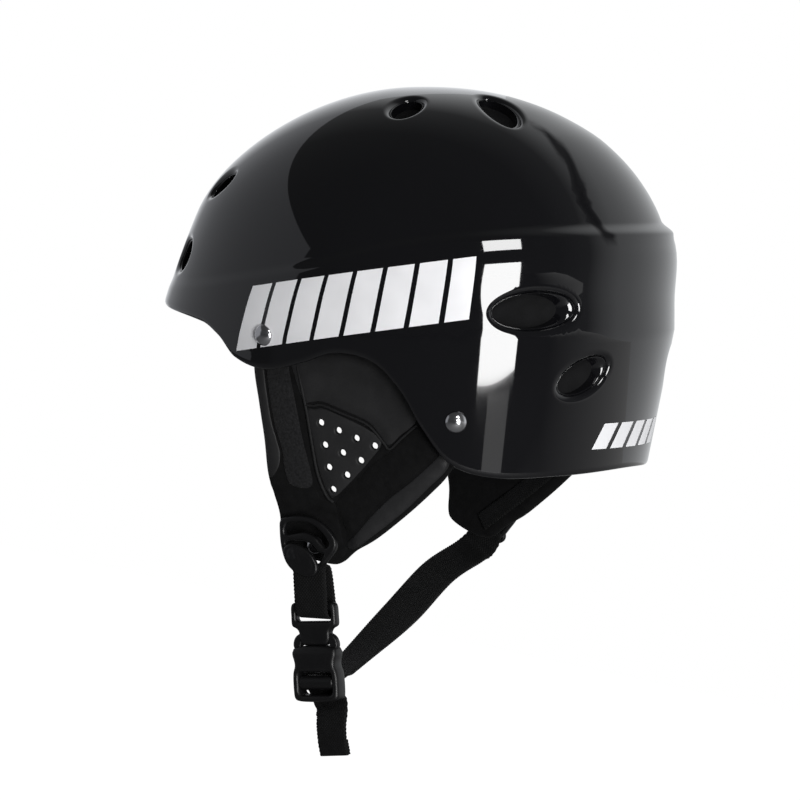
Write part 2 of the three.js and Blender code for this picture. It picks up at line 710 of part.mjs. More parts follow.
function chinAssembly() {
  const group = new THREE.Group();
  group.position.copy(RING_CENTRE);
  group.rotation.x = CHIN_TILT;
  group.add(part('left_chin_strap', leftChinStrap(), webbing));
  group.add(part('buckle_plug', bucklePlug(), buckleNylon));
  group.add(part('prong_front', prong(-1), buckleNylon));
  group.add(part('prong_rear', prong(1), buckleNylon));
  group.add(part('buckle_socket', buckleSocket(), buckleNylon));
  group.add(part('strap_tail', strapTail(), webbing));
  return group;
}

// The right half of the chin strap, from under the right ring across to the ladder of the socket.
const RIGHT_STRAP_ROUTE = [
  [-86.5, -14, -197], [-80, -18, -200.5], [-50, -18, -209],
  [0, -10, -223], [45, -6, -237], [81, -4.5, -247.5],
];
const RIGHT_STRAP_WIDTH_START = new THREE.Vector3(-0.2, 0.85, -0.45);
const RIGHT_STRAP_WIDTH_END = new THREE.Vector3(0, 1, 0.07);

function rightChinStrap() {
  const curve = new THREE.CatmullRomCurve3(RIGHT_STRAP_ROUTE.map((point) => new THREE.Vector3(...point)));
  const widthAt = (u) => {
    const turn = smooth((u - 0.5) / 0.5);
    return new THREE.Vector3().lerpVectors(RIGHT_STRAP_WIDTH_START, RIGHT_STRAP_WIDTH_END, turn);
  };
  return part('right_chin_strap', ribbon(curve, 24, WEBBING_WIDTH, WEBBING, widthAt), webbing);
}

// ---- The helmet ------------------------------------------------------------------------------------
const helmet = new THREE.Group();
helmet.add(outerShell());
helmet.add(liner());
helmet.add(crownPadMesh());
for (const pad of COMFORT_PADS) helmet.add(comfortPad(pad));
helmet.add(fastenings());
for (const side of SIDES) {
  helmet.add(earFlap(side));
  helmet.add(ringSet(side));
}
helmet.add(chinAssembly());
helmet.add(rightChinStrap());

export default helmet;
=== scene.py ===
import math

import bmesh
import bpy
import numpy as np
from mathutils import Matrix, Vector, noise
from mathutils.geometry import delaunay_2d_cdt


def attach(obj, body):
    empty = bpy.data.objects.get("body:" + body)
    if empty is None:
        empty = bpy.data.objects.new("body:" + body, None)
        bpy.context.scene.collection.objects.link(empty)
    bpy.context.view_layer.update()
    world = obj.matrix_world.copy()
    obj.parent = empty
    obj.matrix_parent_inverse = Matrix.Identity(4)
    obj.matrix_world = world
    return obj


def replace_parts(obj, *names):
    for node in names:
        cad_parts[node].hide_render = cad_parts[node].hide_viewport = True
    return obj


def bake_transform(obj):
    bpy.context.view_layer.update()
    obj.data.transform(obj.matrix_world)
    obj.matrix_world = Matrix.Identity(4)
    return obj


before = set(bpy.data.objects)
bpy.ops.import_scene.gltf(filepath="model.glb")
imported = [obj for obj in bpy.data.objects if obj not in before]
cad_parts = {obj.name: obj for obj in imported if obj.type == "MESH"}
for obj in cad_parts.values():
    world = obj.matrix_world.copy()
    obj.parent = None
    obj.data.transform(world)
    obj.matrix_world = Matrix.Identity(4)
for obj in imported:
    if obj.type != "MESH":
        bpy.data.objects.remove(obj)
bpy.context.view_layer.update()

# Lengths are in millimetres here and become metres when a mesh is made.
MM = 0.001

# ---- Camera ----
CAMERA_PLACE = Vector((1.5559, 0.8873, -0.0106))
CAMERA_TARGET = Vector((0.0, -0.011, -0.1205))
CAMERA_LENS = 168.1


def add_camera():
    data = bpy.data.cameras.new("camera")
    data.sensor_width = 36
    data.lens = CAMERA_LENS
    data.clip_end = 20
    camera = bpy.data.objects.new("camera", data)
    bpy.context.collection.objects.link(camera)
    camera.location = CAMERA_PLACE
    camera.rotation_mode = "QUATERNION"
    camera.rotation_quaternion = (CAMERA_TARGET - CAMERA_PLACE).to_track_quat("-Z", "Y")
    bpy.context.scene.camera = camera


add_camera()

# ---- Sizes shared with the CAD ----
CROWN_TOP = 29.8
# Of each profile: reach, flare, roundness, widest level, and taper below the skirt level.
SIDE_PROFILE = (105, 0, 2.0, -75, 0.14)
FRONT_PROFILE = (111, 0.404, 2.0, -30, 0)
REAR_PROFILE = (125.5, 0, 2.27, -77, 0.21)
SKIRT_LEVEL = -85
SHELL_WALL = 3.0
LINER_OUTER = 4.2
LINER_INNER = 21.3

# Azimuth in degrees from the front, then the height of the rim and of the belt's line, and how far
# the shell stands out below that line.
RIM_OUTLINE = [
    (0, -72), (30, -75), (54, -80.5), (61, -87), (66, -96.5), (76, -101.7), (88, -98), (98, -93.3),
    (108, -97.5), (115, -111), (120, -127), (127, -143), (138, -149.8), (156, -150), (180, -148.5),
]
BELT_LEVEL = [(0, -64), (47, -63), (68, -59), (87, -54), (114, -43), (140, -38), (180, -37)]
BELT_HEIGHT = [(0, 0.5), (47, 0.6), (87, 1.5), (114, 3), (150, 4), (180, 4)]
BELT_BEVEL = 6.0
BELT_FADE = 30.0

# Azimuth, height, half length, half width, tilt in degrees, and how far back the duct below it leans.
VENTS = [
    (33, -50, 13, 8, 0, 0),
    (38.5, -16, 11, 6.5, 20, 0),
    (111.6, 19.9, 11, 7.5, 90, 0),
    (158, 19, 18, 8, 90, -9),
    (146, -73.5, 20, 8.5, 3, 11),
    (159, -104, 14, 7.5, 26, 8),
]
RIVETS = {"front": (77.2, -85.5), "rear": (128.6, -123.8)}

# Half width of the raised panel over the back of the head, by height.
SPINE_WIDTH = [(-40, 32), (-35, 33.5), (-27, 35), (-21, 34), (-7, 28), (5, 23.5), (12, 22)]
SPINE_HEIGHT = 1.3
CREASE_WIDTH = 4.5

EAR_YAW = math.radians(8.5)
EAR_LEAN = math.radians(6.5)
FOLD_FRONT = (-37.5, 3)
FOLD_REAR = (60.5, -38)
RING_CENTRE = Vector((86.9, -8.5, -183))
CHIN_TILT = math.radians(4)
SIDES = {"left": 1, "right": -1}


# ---- Curves and smooth steps ----
def smooth(value):
    x = np.clip(value, 0, 1)
    return x * x * (3 - 2 * x)


def through(knots, position):
    """A smooth curve through (position, value) knots, for one position or an array."""
    xs = np.array([k[0] for k in knots], float)
    ys = np.array([k[1] for k in knots], float)
    slopes = np.zeros(len(xs))
    slopes[1:-1] = (ys[2:] - ys[:-2]) / (xs[2:] - xs[:-2])
    at = np.asarray(position, float)
    i = np.clip(np.searchsorted(xs, at, side="right") - 1, 0, len(xs) - 2)
    span = xs[i + 1] - xs[i]
    t = (at - xs[i]) / span
    first = np.where(i == 0, 0, slopes[i])
    last = np.where(i == len(xs) - 2, 0, slopes[i + 1])
    value = ys[i] + (ys[i + 1] - ys[i]) * t * t * (3 - 2 * t)
    return value + span * t * (1 - t) * (first * (1 - t) - last * t)


def round_off(points, step, closed=True):
    """A Catmull-Rom curve through the points, with a point about every step."""
    p = np.array(points, float)
    n = len(p)
    out = []
    for i in range(n if closed else n - 1):
        a = p[(i - 1) % n] if closed or i > 0 else 2 * p[0] - p[1]
        b, c = p[i], p[(i + 1) % n]
        d = p[(i + 2) % n] if closed or i < n - 2 else 2 * p[-1] - p[-2]
        count = max(1, int(round(np.linalg.norm(c - b) / step)))
        for k in range(count):
            t = k / count
            out.append(0.5 * (2 * b + (c - a) * t + (2 * a - 5 * b + 4 * c - d) * t * t
                              + (3 * b - a - 3 * c + d) * t ** 3))
    if not closed:
        out.append(p[-1])
    return np.array(out)


def ellipse(cx, cy, rx, ry, tilt=0, count=40):
    angle = np.linspace(0, 2 * math.pi, count, endpoint=False)
    x, y = rx * np.cos(angle), ry * np.sin(angle)
    c, s = math.cos(math.radians(tilt)), math.sin(math.radians(tilt))
    return np.stack([cx + x * c - y * s, cy + x * s + y * c], 1)


def rounded_box(x0, y0, x1, y1, radius, step=0.8):
    """The outline of a box with round corners, anticlockwise."""
    out = []
    for cx, cy, start in ((x1, y1, 0), (x0, y1, 90), (x0, y0, 180), (x1, y0, 270)):
        mx = cx - radius if cx == x1 else cx + radius
        my = cy - radius if cy == y1 else cy + radius
        for k in range(7):
            a = math.radians(start + 15 * k)
            out.append((mx + radius * math.cos(a), my + radius * math.sin(a)))
    return refined(np.array(out), step)


def refined(outline, step):
    """The closed outline with extra points, so that none of its sides is much longer than step."""
    out = []
    for a, b in zip(outline, np.roll(outline, -1, 0)):
        count = max(1, int(math.ceil(np.linalg.norm(b - a) / step)))
        out.extend(a + (b - a) * k / count for k in range(count))
    return np.array(out)


# ---- Meshes ----
def add_mesh(name, points, faces, material, body=None, slot=None, normals=None):
    """A smooth-shaded mesh object from points in millimetres in the row frame."""
    mesh = bpy.data.meshes.new(name)
    mesh.from_pydata((np.asarray(points, float) * MM).tolist(), [], faces)
    mesh.validate()
    work = bmesh.new()
    work.from_mesh(mesh)
    bmesh.ops.recalc_face_normals(work, faces=work.faces)
    work.to_mesh(mesh)
    work.free()
    mesh.polygons.foreach_set("use_smooth", [True] * len(mesh.polygons))
    mesh.materials.append(material)
    if normals is not None:
        mesh.normals_split_custom_set_from_vertices([tuple(n) for n in normals])
    piece = bpy.data.objects.new(name, mesh)
    bpy.context.collection.objects.link(piece)
    if body:
        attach(piece, body)
    return piece


def edge_distance(points, loops):
    """Distance from each 2-D point to the nearest side of any of the closed loops."""
    best = np.full(len(points), 1e9)
    for loop in loops:
        a = np.asarray(loop, float)
        d = np.roll(a, -1, 0) - a
        for start in range(0, len(points), 2000):
            p = points[start:start + 2000]
            rel = p[:, None] - a[None]
            t = np.clip((rel * d).sum(2) / np.maximum((d * d).sum(1), 1e-12), 0, 1)
            gap = np.linalg.norm(rel - t[..., None] * d, axis=2).min(1)
            best[start:start + 2000] = np.minimum(best[start:start + 2000], gap)
    return best


def inside(points, loop):
    x, y = points[:, 0], points[:, 1]
    result = np.zeros(len(points), bool)
    for (x0, y0), (x1, y1) in zip(loop, np.roll(loop, -1, 0)):
        if y0 == y1:
            continue
        crosses = (y0 > y) != (y1 > y)
        result ^= crosses & (x < (x1 - x0) * (y - y0) / (y1 - y0) + x0)
    return result


def fill(outline, holes, rounding, step):
    """Triangles over an outline with holes: rings close to every edge and an even scatter between.
    Returns the 2-D points, the triangles and the loops of point numbers along the edges."""
    loops = [np.asarray(outline, float)] + [np.asarray(h, float) for h in holes]
    points, segments, rims = [], [], []
    for loop in loops:
        first = len(points)
        points.extend(loop.tolist())
        rims.append(list(range(first, first + len(loop))))
        segments.extend((first + k, first + (k + 1) % len(loop)) for k in range(len(loop)))
    extra = []
    for number, loop in enumerate(loops):
        ahead = np.roll(loop, -1, 0) - np.roll(loop, 1, 0)
        side = np.stack([-ahead[:, 1], ahead[:, 0]], 1)
        side /= np.maximum(np.linalg.norm(side, axis=1, keepdims=True), 1e-9)
        probe = inside(loop + side * 0.05, loop).mean() > 0.5
        side *= 1 if probe == (number == 0) else -1
        for share in (0.1, 0.32, 0.62, 1.0):
            ring = loop + side * rounding * share
            extra.append((ring, 0.93 * rounding * share))
    low, high = loops[0].min(0), loops[0].max(0)
    rows = np.arange(low[1], high[1], step * 0.866)
    for k, y in enumerate(rows):
        xs = np.arange(low[0] + (step / 2 if k % 2 else 0), high[0], step)
        extra.append((np.stack([xs, np.full(len(xs), y)], 1), rounding + 0.45 * step))
    for ring, least in extra:
        keep = inside(ring, loops[0]) & (edge_distance(ring, loops) >= least)
        for hole in loops[1:]:
            keep &= ~inside(ring, hole)
        points.extend(ring[keep].tolist())
    made = delaunay_2d_cdt([Vector(p) for p in points], segments, [], 0, 1e-5)
    flat = np.array([tuple(v) for v in made[0]])
    back = {}
    for new, sources in enumerate(made[3]):
        for source in sources:
            back[source] = new
    triangles = np.array([tuple(f) for f in made[2]])
    middle = flat[triangles].mean(1)
    keep = inside(middle, loops[0])
    for hole in loops[1:]:
        keep &= ~inside(middle, hole)
    return flat, triangles[keep], [[back[k] for k in rim] for rim in rims], loops


def wall_faces(triangles, rims, count):
    """Faces of a wall: one side, the other side count points further on, and the strips between."""
    faces = [tuple(t) for t in triangles] + [tuple(t[::-1] + count) for t in triangles]
    for rim in rims:
        for a, b in zip(rim, rim[1:] + rim[:1]):
            faces.append((int(a), int(b), int(b + count), int(a + count)))
    return faces


def edge_drop(distance, rounding):
    """How far a rounded edge lies below its face, as a share of the rounding's depth."""
    share = np.clip(distance / rounding, 0, 1)
    return 1 - np.sqrt(np.clip(1 - (1 - share) ** 2, 0, 1))


def slab(name, outline, holes, top, bottom, rounding, step, place, material, body=None, slot=None):
    """A closed plate over an outline. top and bottom give its faces' heights from the 2-D points, its
    edges are rounded, and place puts (x, y, height) rows into the row frame."""
    flat, triangles, rims, loops = fill(outline, holes, rounding, step)
    d = edge_distance(flat, loops)
    high, low = top(flat), bottom(flat)
    half = (high - low) / 2
    drop = np.minimum(rounding, half * 0.96) * edge_drop(d, rounding)
    upper = np.column_stack([flat, high - drop])
    lower = np.column_stack([flat, low + drop])
    faces = wall_faces(triangles, rims, len(flat))
    return add_mesh(name, place(np.vstack([upper, lower])), faces, material, body, slot)


def level(height):
    return lambda flat: np.full(len(flat), float(height))


def ring_faces(rings, sides, closed=False):
    """Quads between rings of points, and from the last ring back to the first if closed."""
    faces = []
    for r in range(rings if closed else rings - 1):
        here, there = r * sides, (r + 1) % rings * sides
        for k in range(sides):
            m = (k + 1) % sides
            faces.append((here + k, here + m, there + m, there + k))
    return faces


# ---- Looks ----
class Look:
    """A procedural material: one shader with noise on its colour, roughness and surface."""

    def __init__(self, name, colour, roughness, **shader):
        self.material = bpy.data.materials.new(name)
        self.material.use_nodes = True
        self.nodes = self.material.node_tree.nodes
        self.links = self.material.node_tree.links
        self.shader = self.nodes["Principled BSDF"]
        self.shader.inputs["Base Color"].default_value = (*colour, 1)
        self.shader.inputs["Roughness"].default_value = roughness
        self.colour = colour
        self.roughness = roughness
        for socket, value in shader.items():
            self.shader.inputs[socket.replace("_", " ")].default_value = value
        self.place = self.nodes.new("ShaderNodeTexCoord").outputs["Object"]
        self.normal = None

    def node(self, kind, inputs=None, **settings):
        made = self.nodes.new(kind)
        for key, value in settings.items():
            setattr(made, key, value)
        for key, value in (inputs or {}).items():
            if isinstance(value, bpy.types.NodeSocket):
                self.links.new(value, made.inputs[key])
            else:
                made.inputs[key].default_value = value
        return made

    def noise(self, scale, detail=2.0):
        made = self.node("ShaderNodeTexNoise", {"Vector": self.place, "Scale": scale, "Detail": detail})
        return made.outputs["Fac"]

    def spread(self, factor, low, high):
        """The factor's middle range stretched to low to high."""
        made = self.node("ShaderNodeMapRange", {"Value": factor, "From Min": 0.3, "From Max": 0.7,
                                                "To Min": low, "To Max": high})
        return made.outputs["Result"]

    def vary_colour(self, factor, amount):
        """The colour darker and lighter by a share."""
        shade = self.spread(factor, 1 - amount, 1 + amount)
        made = self.node("ShaderNodeVectorMath", {0: self.colour, "Scale": shade}, operation="SCALE")
        self.links.new(made.outputs["Vector"], self.shader.inputs["Base Color"])
        return self

    def vary_roughness(self, factor, amount):
        value = self.spread(factor, self.roughness - amount, self.roughness + amount)
        self.links.new(value, self.shader.inputs["Roughness"])
        return self

    def bump(self, height, distance, strength=1.0):
        inputs = {"Height": height, "Distance": distance * MM, "Strength": strength}
        if self.normal:
            inputs["Normal"] = self.normal
        self.normal = self.node("ShaderNodeBump", inputs).outputs["Normal"]
        self.links.new(self.normal, self.shader.inputs["Normal"])
        return self

    def cells(self, scale):
        made = self.node("ShaderNodeTexVoronoi", {"Vector": self.place, "Scale": scale})
        return made.outputs["Distance"]

    def weave(self, pitch_along, pitch_across):
        """Ribs of a woven strap from its own lengthwise and crosswise lengths in millimetres."""
        at = self.node("ShaderNodeUVMap", uv_map="weave").outputs["UV"]
        parts = self.node("ShaderNodeSeparateXYZ", {"Vector": at})
        waves = []
        for axis, pitch in (("X", pitch_along), ("Y", pitch_across)):
            turns = self.node("ShaderNodeMath", {0: parts.outputs[axis], 1: 2 * math.pi / pitch},
                              operation="MULTIPLY")
            wave = self.node("ShaderNodeMath", {0: turns.outputs[0]}, operation="SINE")
            waves.append(wave.outputs[0])
        return self.node("ShaderNodeMath", {0: waves[0], 1: waves[1]}, operation="MULTIPLY").outputs[0]


def gloss_shell():
    look = Look("gloss_shell", (0.0045, 0.0045, 0.0055), 0.035, IOR=1.5, Coat_Weight=0.6,
                Coat_Roughness=0.01)
    return look.vary_roughness(look.noise(35, 3), 0.01).vary_colour(look.noise(12), 0.1).material


def silver_ink():
    look = Look("silver_ink", (0.93, 0.93, 0.95), 0.4, Coat_Weight=0.15, Coat_Roughness=0.08)
    return look.vary_colour(look.noise(60), 0.04).vary_roughness(look.noise(90), 0.05).material


def liner_foam():
    look = Look("liner_foam", (0.006, 0.006, 0.0065), 0.85, Specular_IOR_Level=0.15)
    return look.vary_colour(look.noise(150), 0.2).bump(look.cells(700), 0.12, 0.5).material


def brushed_jersey():
    look = Look("brushed_jersey", (0.016, 0.016, 0.0168), 0.95, Specular_IOR_Level=0.15,
                Sheen_Weight=0.06)
    look.vary_colour(look.noise(220), 0.2)
    return look.bump(look.noise(1600, 3), 0.18, 0.6).material


def smooth_lining():
    look = Look("smooth_lining", (0.0145, 0.0145, 0.0152), 0.6, Specular_IOR_Level=0.27,
                Sheen_Weight=0.03)
    look.vary_colour(look.noise(70), 0.12).vary_roughness(look.noise(400), 0.06)
    return look.bump(look.noise(900, 2), 0.1, 0.4).bump(look.noise(60), 0.6, 0.35).material


def dark_jersey():
    look = Look("dark_jersey", (0.0048, 0.0048, 0.005), 0.9, Specular_IOR_Level=0.12, Sheen_Weight=0.02)
    look.vary_colour(look.noise(260), 0.25)
    return look.bump(look.noise(1300, 3), 0.2, 0.7).bump(look.noise(55), 0.8, 0.3).material


def loop_tape():
    look = Look("loop_tape", (0.013, 0.013, 0.0137), 0.95, Specular_IOR_Level=0.15, Sheen_Weight=0.07)
    look.vary_colour(look.noise(900, 4), 0.45)
    return look.bump(look.noise(1100, 4), 0.6, 0.9).material


def edge_binding():
    look = Look("edge_binding", (0.0175, 0.0175, 0.0184), 0.5, Specular_IOR_Level=0.3)
    look.vary_roughness(look.noise(300), 0.08)
    return look.bump(look.noise(1000, 2), 0.1, 0.4).material


def strap_webbing():
    look = Look("strap_webbing", (0.0046, 0.0046, 0.0048), 0.72, Specular_IOR_Level=0.16,
                Sheen_Weight=0.015)
    look.vary_colour(look.noise(300), 0.25)
    return look.bump(look.weave(1.7, 1.5), 0.16, 0.8).bump(look.noise(1500), 0.08, 0.5).material


def moulded_nylon():
    look = Look("moulded_nylon", (0.0055, 0.0055, 0.006), 0.38, Specular_IOR_Level=0.36)
    look.vary_roughness(look.noise(120), 0.05)
    return look.bump(look.noise(2200, 2), 0.03, 0.5).material


def polished_metal():
    look = Look("polished_metal", (0.66, 0.66, 0.68), 0.16, Metallic=1.0)
    return look.vary_roughness(look.noise(250), 0.04).vary_colour(look.noise(80), 0.05).material


def sewing_thread():
    look = Look("sewing_thread", (0.009, 0.009, 0.0095), 0.7, Specular_IOR_Level=0.25)
    return look.vary_colour(look.noise(500), 0.2).material


SHELL = gloss_shell()
INK = silver_ink()
FOAM = liner_foam()
JERSEY = brushed_jersey()
LINING = smooth_lining()
DARK = dark_jersey()
TAPE = loop_tape()
BINDING = edge_binding()
WEBBING = strap_webbing()
NYLON = moulded_nylon()
METAL = polished_metal()
THREAD = sewing_thread()


# ---- The dome ----
def reach_of(profile, z, inset=0.0):
    reach0, flare, roundness, middle, taper = profile
    top = CROWN_TOP - inset
    u = np.clip((z - middle) / (top - middle), 0, 1)
    reach = reach0 - inset + flare * (middle - z)
    dome = reach * (1 - u ** roundness) ** (1 / roundness)
    return dome - taper * np.maximum(0, SKIRT_LEVEL - z)


def radius_at(azimuth, z, inset=0.0):
    angle = np.radians(azimuth)
    side = reach_of(SIDE_PROFILE, z, inset)
    ahead = reach_of(FRONT_PROFILE, z, inset)
    behind = reach_of(REAR_PROFILE, z, inset)
    length = np.where(np.cos(angle) > 0, ahead, behind)
    span = np.hypot(length * np.sin(angle), side * np.cos(angle))
    return np.where(span > 1e-9, side * length / np.maximum(span, 1e-9), 0)


def belt_at(azimuth, z):
    side = np.abs(azimuth)
    height = through(BELT_LEVEL, side)
    rise = smooth((height + BELT_BEVEL / 2 - z) / BELT_BEVEL)
    fade = 1 - smooth((height - BELT_BEVEL - z) / BELT_FADE)
    return through(BELT_HEIGHT, side) * rise * fade


def spine_at(x, z):
    """Height of the raised panel over the back, with a crease along its edge."""
    edge = np.interp(z, [w[0] for w in SPINE_WIDTH], [w[1] for w in SPINE_WIDTH])
    across = smooth((edge - np.abs(x)) / CREASE_WIDTH + 0.5)
    return SPINE_HEIGHT * across * smooth((16 - z) / 12) * smooth((z + 44) / 6)


def wrapped(azimuth):
    return (np.asarray(azimuth, float) + 180) % 360 - 180


def height_of(phi):
    return CROWN_TOP - (CROWN_TOP - SIDE_PROFILE[3]) * (1 - np.cos(phi))


def phi_of(z):
    return np.arccos(np.clip(1 - (CROWN_TOP - z) / (CROWN_TOP - SIDE_PROFILE[3]), -1, 1))


def shell_point(azimuth, phi, detail=1.0):
    """Points of the shell's outer face, with its belt and its raised panel if detail is 1."""
    z = height_of(phi)
    azimuth = wrapped(azimuth)
    radius = radius_at(azimuth, z)
    angle = np.radians(azimuth)
    swell = belt_at(azimuth, z) + spine_at(radius * np.sin(angle), z) * (np.cos(angle) < 0)
    radius = radius + detail * swell
    return np.stack([radius * np.sin(angle), -radius * np.cos(angle), z], -1)


def shell_normal(azimuth, phi):
    step = 0.003
    phi = np.maximum(phi, 2 * step)
    turn = np.degrees(step) / np.maximum(np.sin(phi), 0.05)
    around = shell_point(azimuth + turn, phi) - shell_point(azimuth - turn, phi)
    down = shell_point(azimuth, phi + step) - shell_point(azimuth, phi - step)
    normal = np.cross(down, around)
    return normal / np.linalg.norm(normal, axis=-1, keepdims=True)


# How far inwards and outwards a line is followed to the dome, and how often that span is halved.
SEARCH = (-25.0, 15.0)
HALVINGS = 26


def dome_frame(azimuth, z):
    """Columns: along the level, up the wall, out of it; and the point of the plain dome."""
    centre = shell_point(azimuth, phi_of(z), 0)
    ahead = shell_point(azimuth + 0.5, phi_of(z), 0) - centre
    above = shell_point(azimuth, phi_of(z + 0.5), 0) - centre
    out = np.cross(ahead, above)
    out /= np.linalg.norm(out)
    across = np.array([-out[1], out[0], 0])
    across /= np.linalg.norm(across)
    return np.column_stack([across, np.cross(out, across), out]), centre


def onto_dome(origins, direction):
    """Azimuth and height where lines from the origins along a direction leave the plain dome."""
    low, high = (np.full(len(origins), limit) for limit in SEARCH)
    for _ in range(HALVINGS):
        middle = (low + high) / 2
        p = origins + middle[:, None] * direction
        azimuth = np.degrees(np.arctan2(p[:, 0], -p[:, 1]))
        within = (p[:, 2] < CROWN_TOP) & (np.hypot(p[:, 0], p[:, 1]) < radius_at(azimuth, p[:, 2]))
        low, high = np.where(within, middle, low), np.where(within, high, middle)
    p = origins + low[:, None] * direction
    return np.degrees(np.arctan2(p[:, 0], -p[:, 1])), p[:, 2]


def rim_height(azimuth):
    return through(RIM_OUTLINE, np.abs(wrapped(azimuth)))


def vent_frames():
    for azimuth, height, length, width, tilt, lean in VENTS:
        for sign in (1, -1):
            basis, centre = dome_frame(np.float64(azimuth * sign), np.float64(height))
            yield basis, centre, length, width, math.radians(tilt * sign), lean * sign


def vent_ring(vent, margin, count=56):
    """Azimuth and height of points round a vent, a margin outside its edge."""
    basis, centre, length, width, tilt, _ = vent
    angle = np.linspace(0, 2 * math.pi, count, endpoint=False)
    x, y = (length + margin) * np.cos(angle), (width + margin) * np.sin(angle)
    along = x * math.cos(tilt) - y * math.sin(tilt)
    up = x * math.sin(tilt) + y * math.cos(tilt)
    origins = centre + np.outer(along, basis[:, 0]) + np.outer(up, basis[:, 1])
    return onto_dome(origins, basis[:, 2])


def near_vent(points, margin):
    """Which points lie over a vent widened by a margin."""
    near = np.zeros(len(points), bool)
    for basis, centre, length, width, tilt, _ in vent_frames():
        local = (points - centre) @ basis
        x = local[:, 0] * math.cos(tilt) + local[:, 1] * math.sin(tilt)
        y = local[:, 1] * math.cos(tilt) - local[:, 0] * math.sin(tilt)
        over = (x / (length + margin)) ** 2 + (y / (width + margin)) ** 2 < 1
        near |= over & (np.abs(local[:, 2]) < 30)
    return near


# How far outside a vent's edge each ring of the rolled lip lies, and how deep.
LIP = [
    (5.0, 0), (3.9, 0.0), (3.0, 0.03), (2.2, 0.16), (1.5, 0.42), (0.9, 0.82), (0.4, 1.4), (0.1, 2.0),
    (0, 2.6),
]
RIM_EDGE = [(4.5, 0), (3.0, 0.0), (1.9, 0.06), (1.1, 0.25), (0.5, 0.6), (0.15, 1.0), (0, 1.35)]


# The belt's step is covered by closely spaced rows from its shoulder down.
BELT_ROWS = 10
BELT_DROP = 7.6


def shoulder_at(azimuth):
    """Height of the upper edge of the belt's step."""
    return through(BELT_LEVEL, np.abs(wrapped(azimuth))) + BELT_BEVEL / 2 + 0.6


def dome_sheet(columns, upper, lower, rim, lip, edge):
    """Azimuths, angles, depths, triangles and edges of a dome with holes. rim gives its lower edge by
    azimuth."""
    azimuths, phis, depths, segments, borders = [], [], [], [], []

    def add(azimuth, z, depth, tied=False, border=False):
        first = sum(len(a) for a in azimuths)
        azimuths.append(wrapped(azimuth))
        phis.append(phi_of(np.asarray(z, float)))
        depths.append(np.broadcast_to(np.asarray(depth, float), azimuths[-1].shape).copy())
        count = len(azimuths[-1])
        if tied:
            segments.extend((first + k, first + (k + 1) % count) for k in range(count))
        if border:
            borders.append(np.arange(first, first + count))

    ring = np.linspace(-180, 180, columns, endpoint=False)
    add(np.zeros(1), np.array([CROWN_TOP]), 0)
    for k in range(1, upper + 1):
        share = k / upper
        count = min(columns, max(10, int(columns * math.sin(share * math.pi / 2) * 1.05)))
        a = np.linspace(-180, 180, count, endpoint=False) + (180 / count) * (k % 2)
        add(a, CROWN_TOP - (CROWN_TOP - shoulder_at(a)) * (1 - math.cos(math.pi / 2 * share)), 0)
    shoulder = shoulder_at(ring)
    for k in range(1, BELT_ROWS + 1):
        add(ring, shoulder - k * (BELT_DROP / BELT_ROWS), 0)
    for k in range(1, lower):
        below = rim(ring) + edge[0][0] - shoulder + BELT_DROP
        add(ring, shoulder - BELT_DROP + below * (k / lower), 0)
    body = [np.concatenate(azimuths), np.concatenate(phis)]
    keep = ~near_vent(shell_point(body[0], body[1], 0), lip[0][0] + 1.2)
    azimuths, phis, depths = [body[0][keep]], [body[1][keep]], [np.zeros(keep.sum())]
    fine = np.linspace(-180, 180, 2 * columns, endpoint=False)
    for above, depth in edge:
        add(fine, rim(fine) + above, depth, above < 4, above == 0)
    outline = azimuths[-1].copy(), phis[-1].copy()
    for vent in vent_frames():
        for margin, depth in lip:
            a, z = vent_ring(vent, margin)
            add(a, z, depth, margin < 3.5, margin == 0)
    azimuth, phi, depth = (np.concatenate(x) for x in (azimuths, phis, depths))

    def flat(a, p):
        return np.stack([p * np.sin(np.radians(a)), -p * np.cos(np.radians(a))], 1)

    plan = flat(azimuth, phi)
    made = delaunay_2d_cdt([Vector(p) for p in plan], segments, [], 0, 1e-6)
    source = np.array([s[0] for s in made[3]])
    to_new = {old: new for new, olds in enumerate(made[3]) for old in olds}
    triangles = np.array([tuple(f) for f in made[2]])
    plan = plan[source]
    middle = plan[triangles].mean(1)
    keep = inside(middle, flat(*outline))
    for border in borders[1:]:
        keep &= ~inside(middle, plan[[to_new[k] for k in border]])
    rims = [[to_new[k] for k in border] for border in borders]
    return azimuth[source], phi[source], depth[source], triangles[keep], rims


def dome_solid(name, sheet, thickness, inset, material, slot):
    """A closed wall over a dome sheet: its outer face, its inner face and the strips that join them."""
    azimuth, phi, depth, triangles, rims = sheet
    base = shell_point(azimuth, phi, 1.0 if inset == 0 else 0.0)
    normal = shell_normal(azimuth, phi)
    outer = base - normal * (inset + depth)[:, None]
    inner = base - normal * (inset + thickness - 0.4 * np.minimum(depth, thickness / 2))[:, None]
    faces = wall_faces(triangles, rims, len(base))
    piece = add_mesh(name, np.vstack([outer, inner]), faces, material, "helmet", slot)
    smoothed = np.zeros(len(piece.data.vertices) * 3, np.float32)
    piece.data.vertices.foreach_get("normal", smoothed)
    normals = smoothed.reshape(-1, 3).astype(float)
    plain = np.flatnonzero(depth < 0.01)
    normals[plain] = normal[plain]
    piece.data.normals_split_custom_set_from_vertices([tuple(n) for n in normals])
    return piece


shell_sheet = dome_sheet(240, 34, 26, rim_height, LIP, RIM_EDGE)
shell = dome_solid("shell", shell_sheet, SHELL_WALL, 0, SHELL, "shell")
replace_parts(shell, "outer_shell")

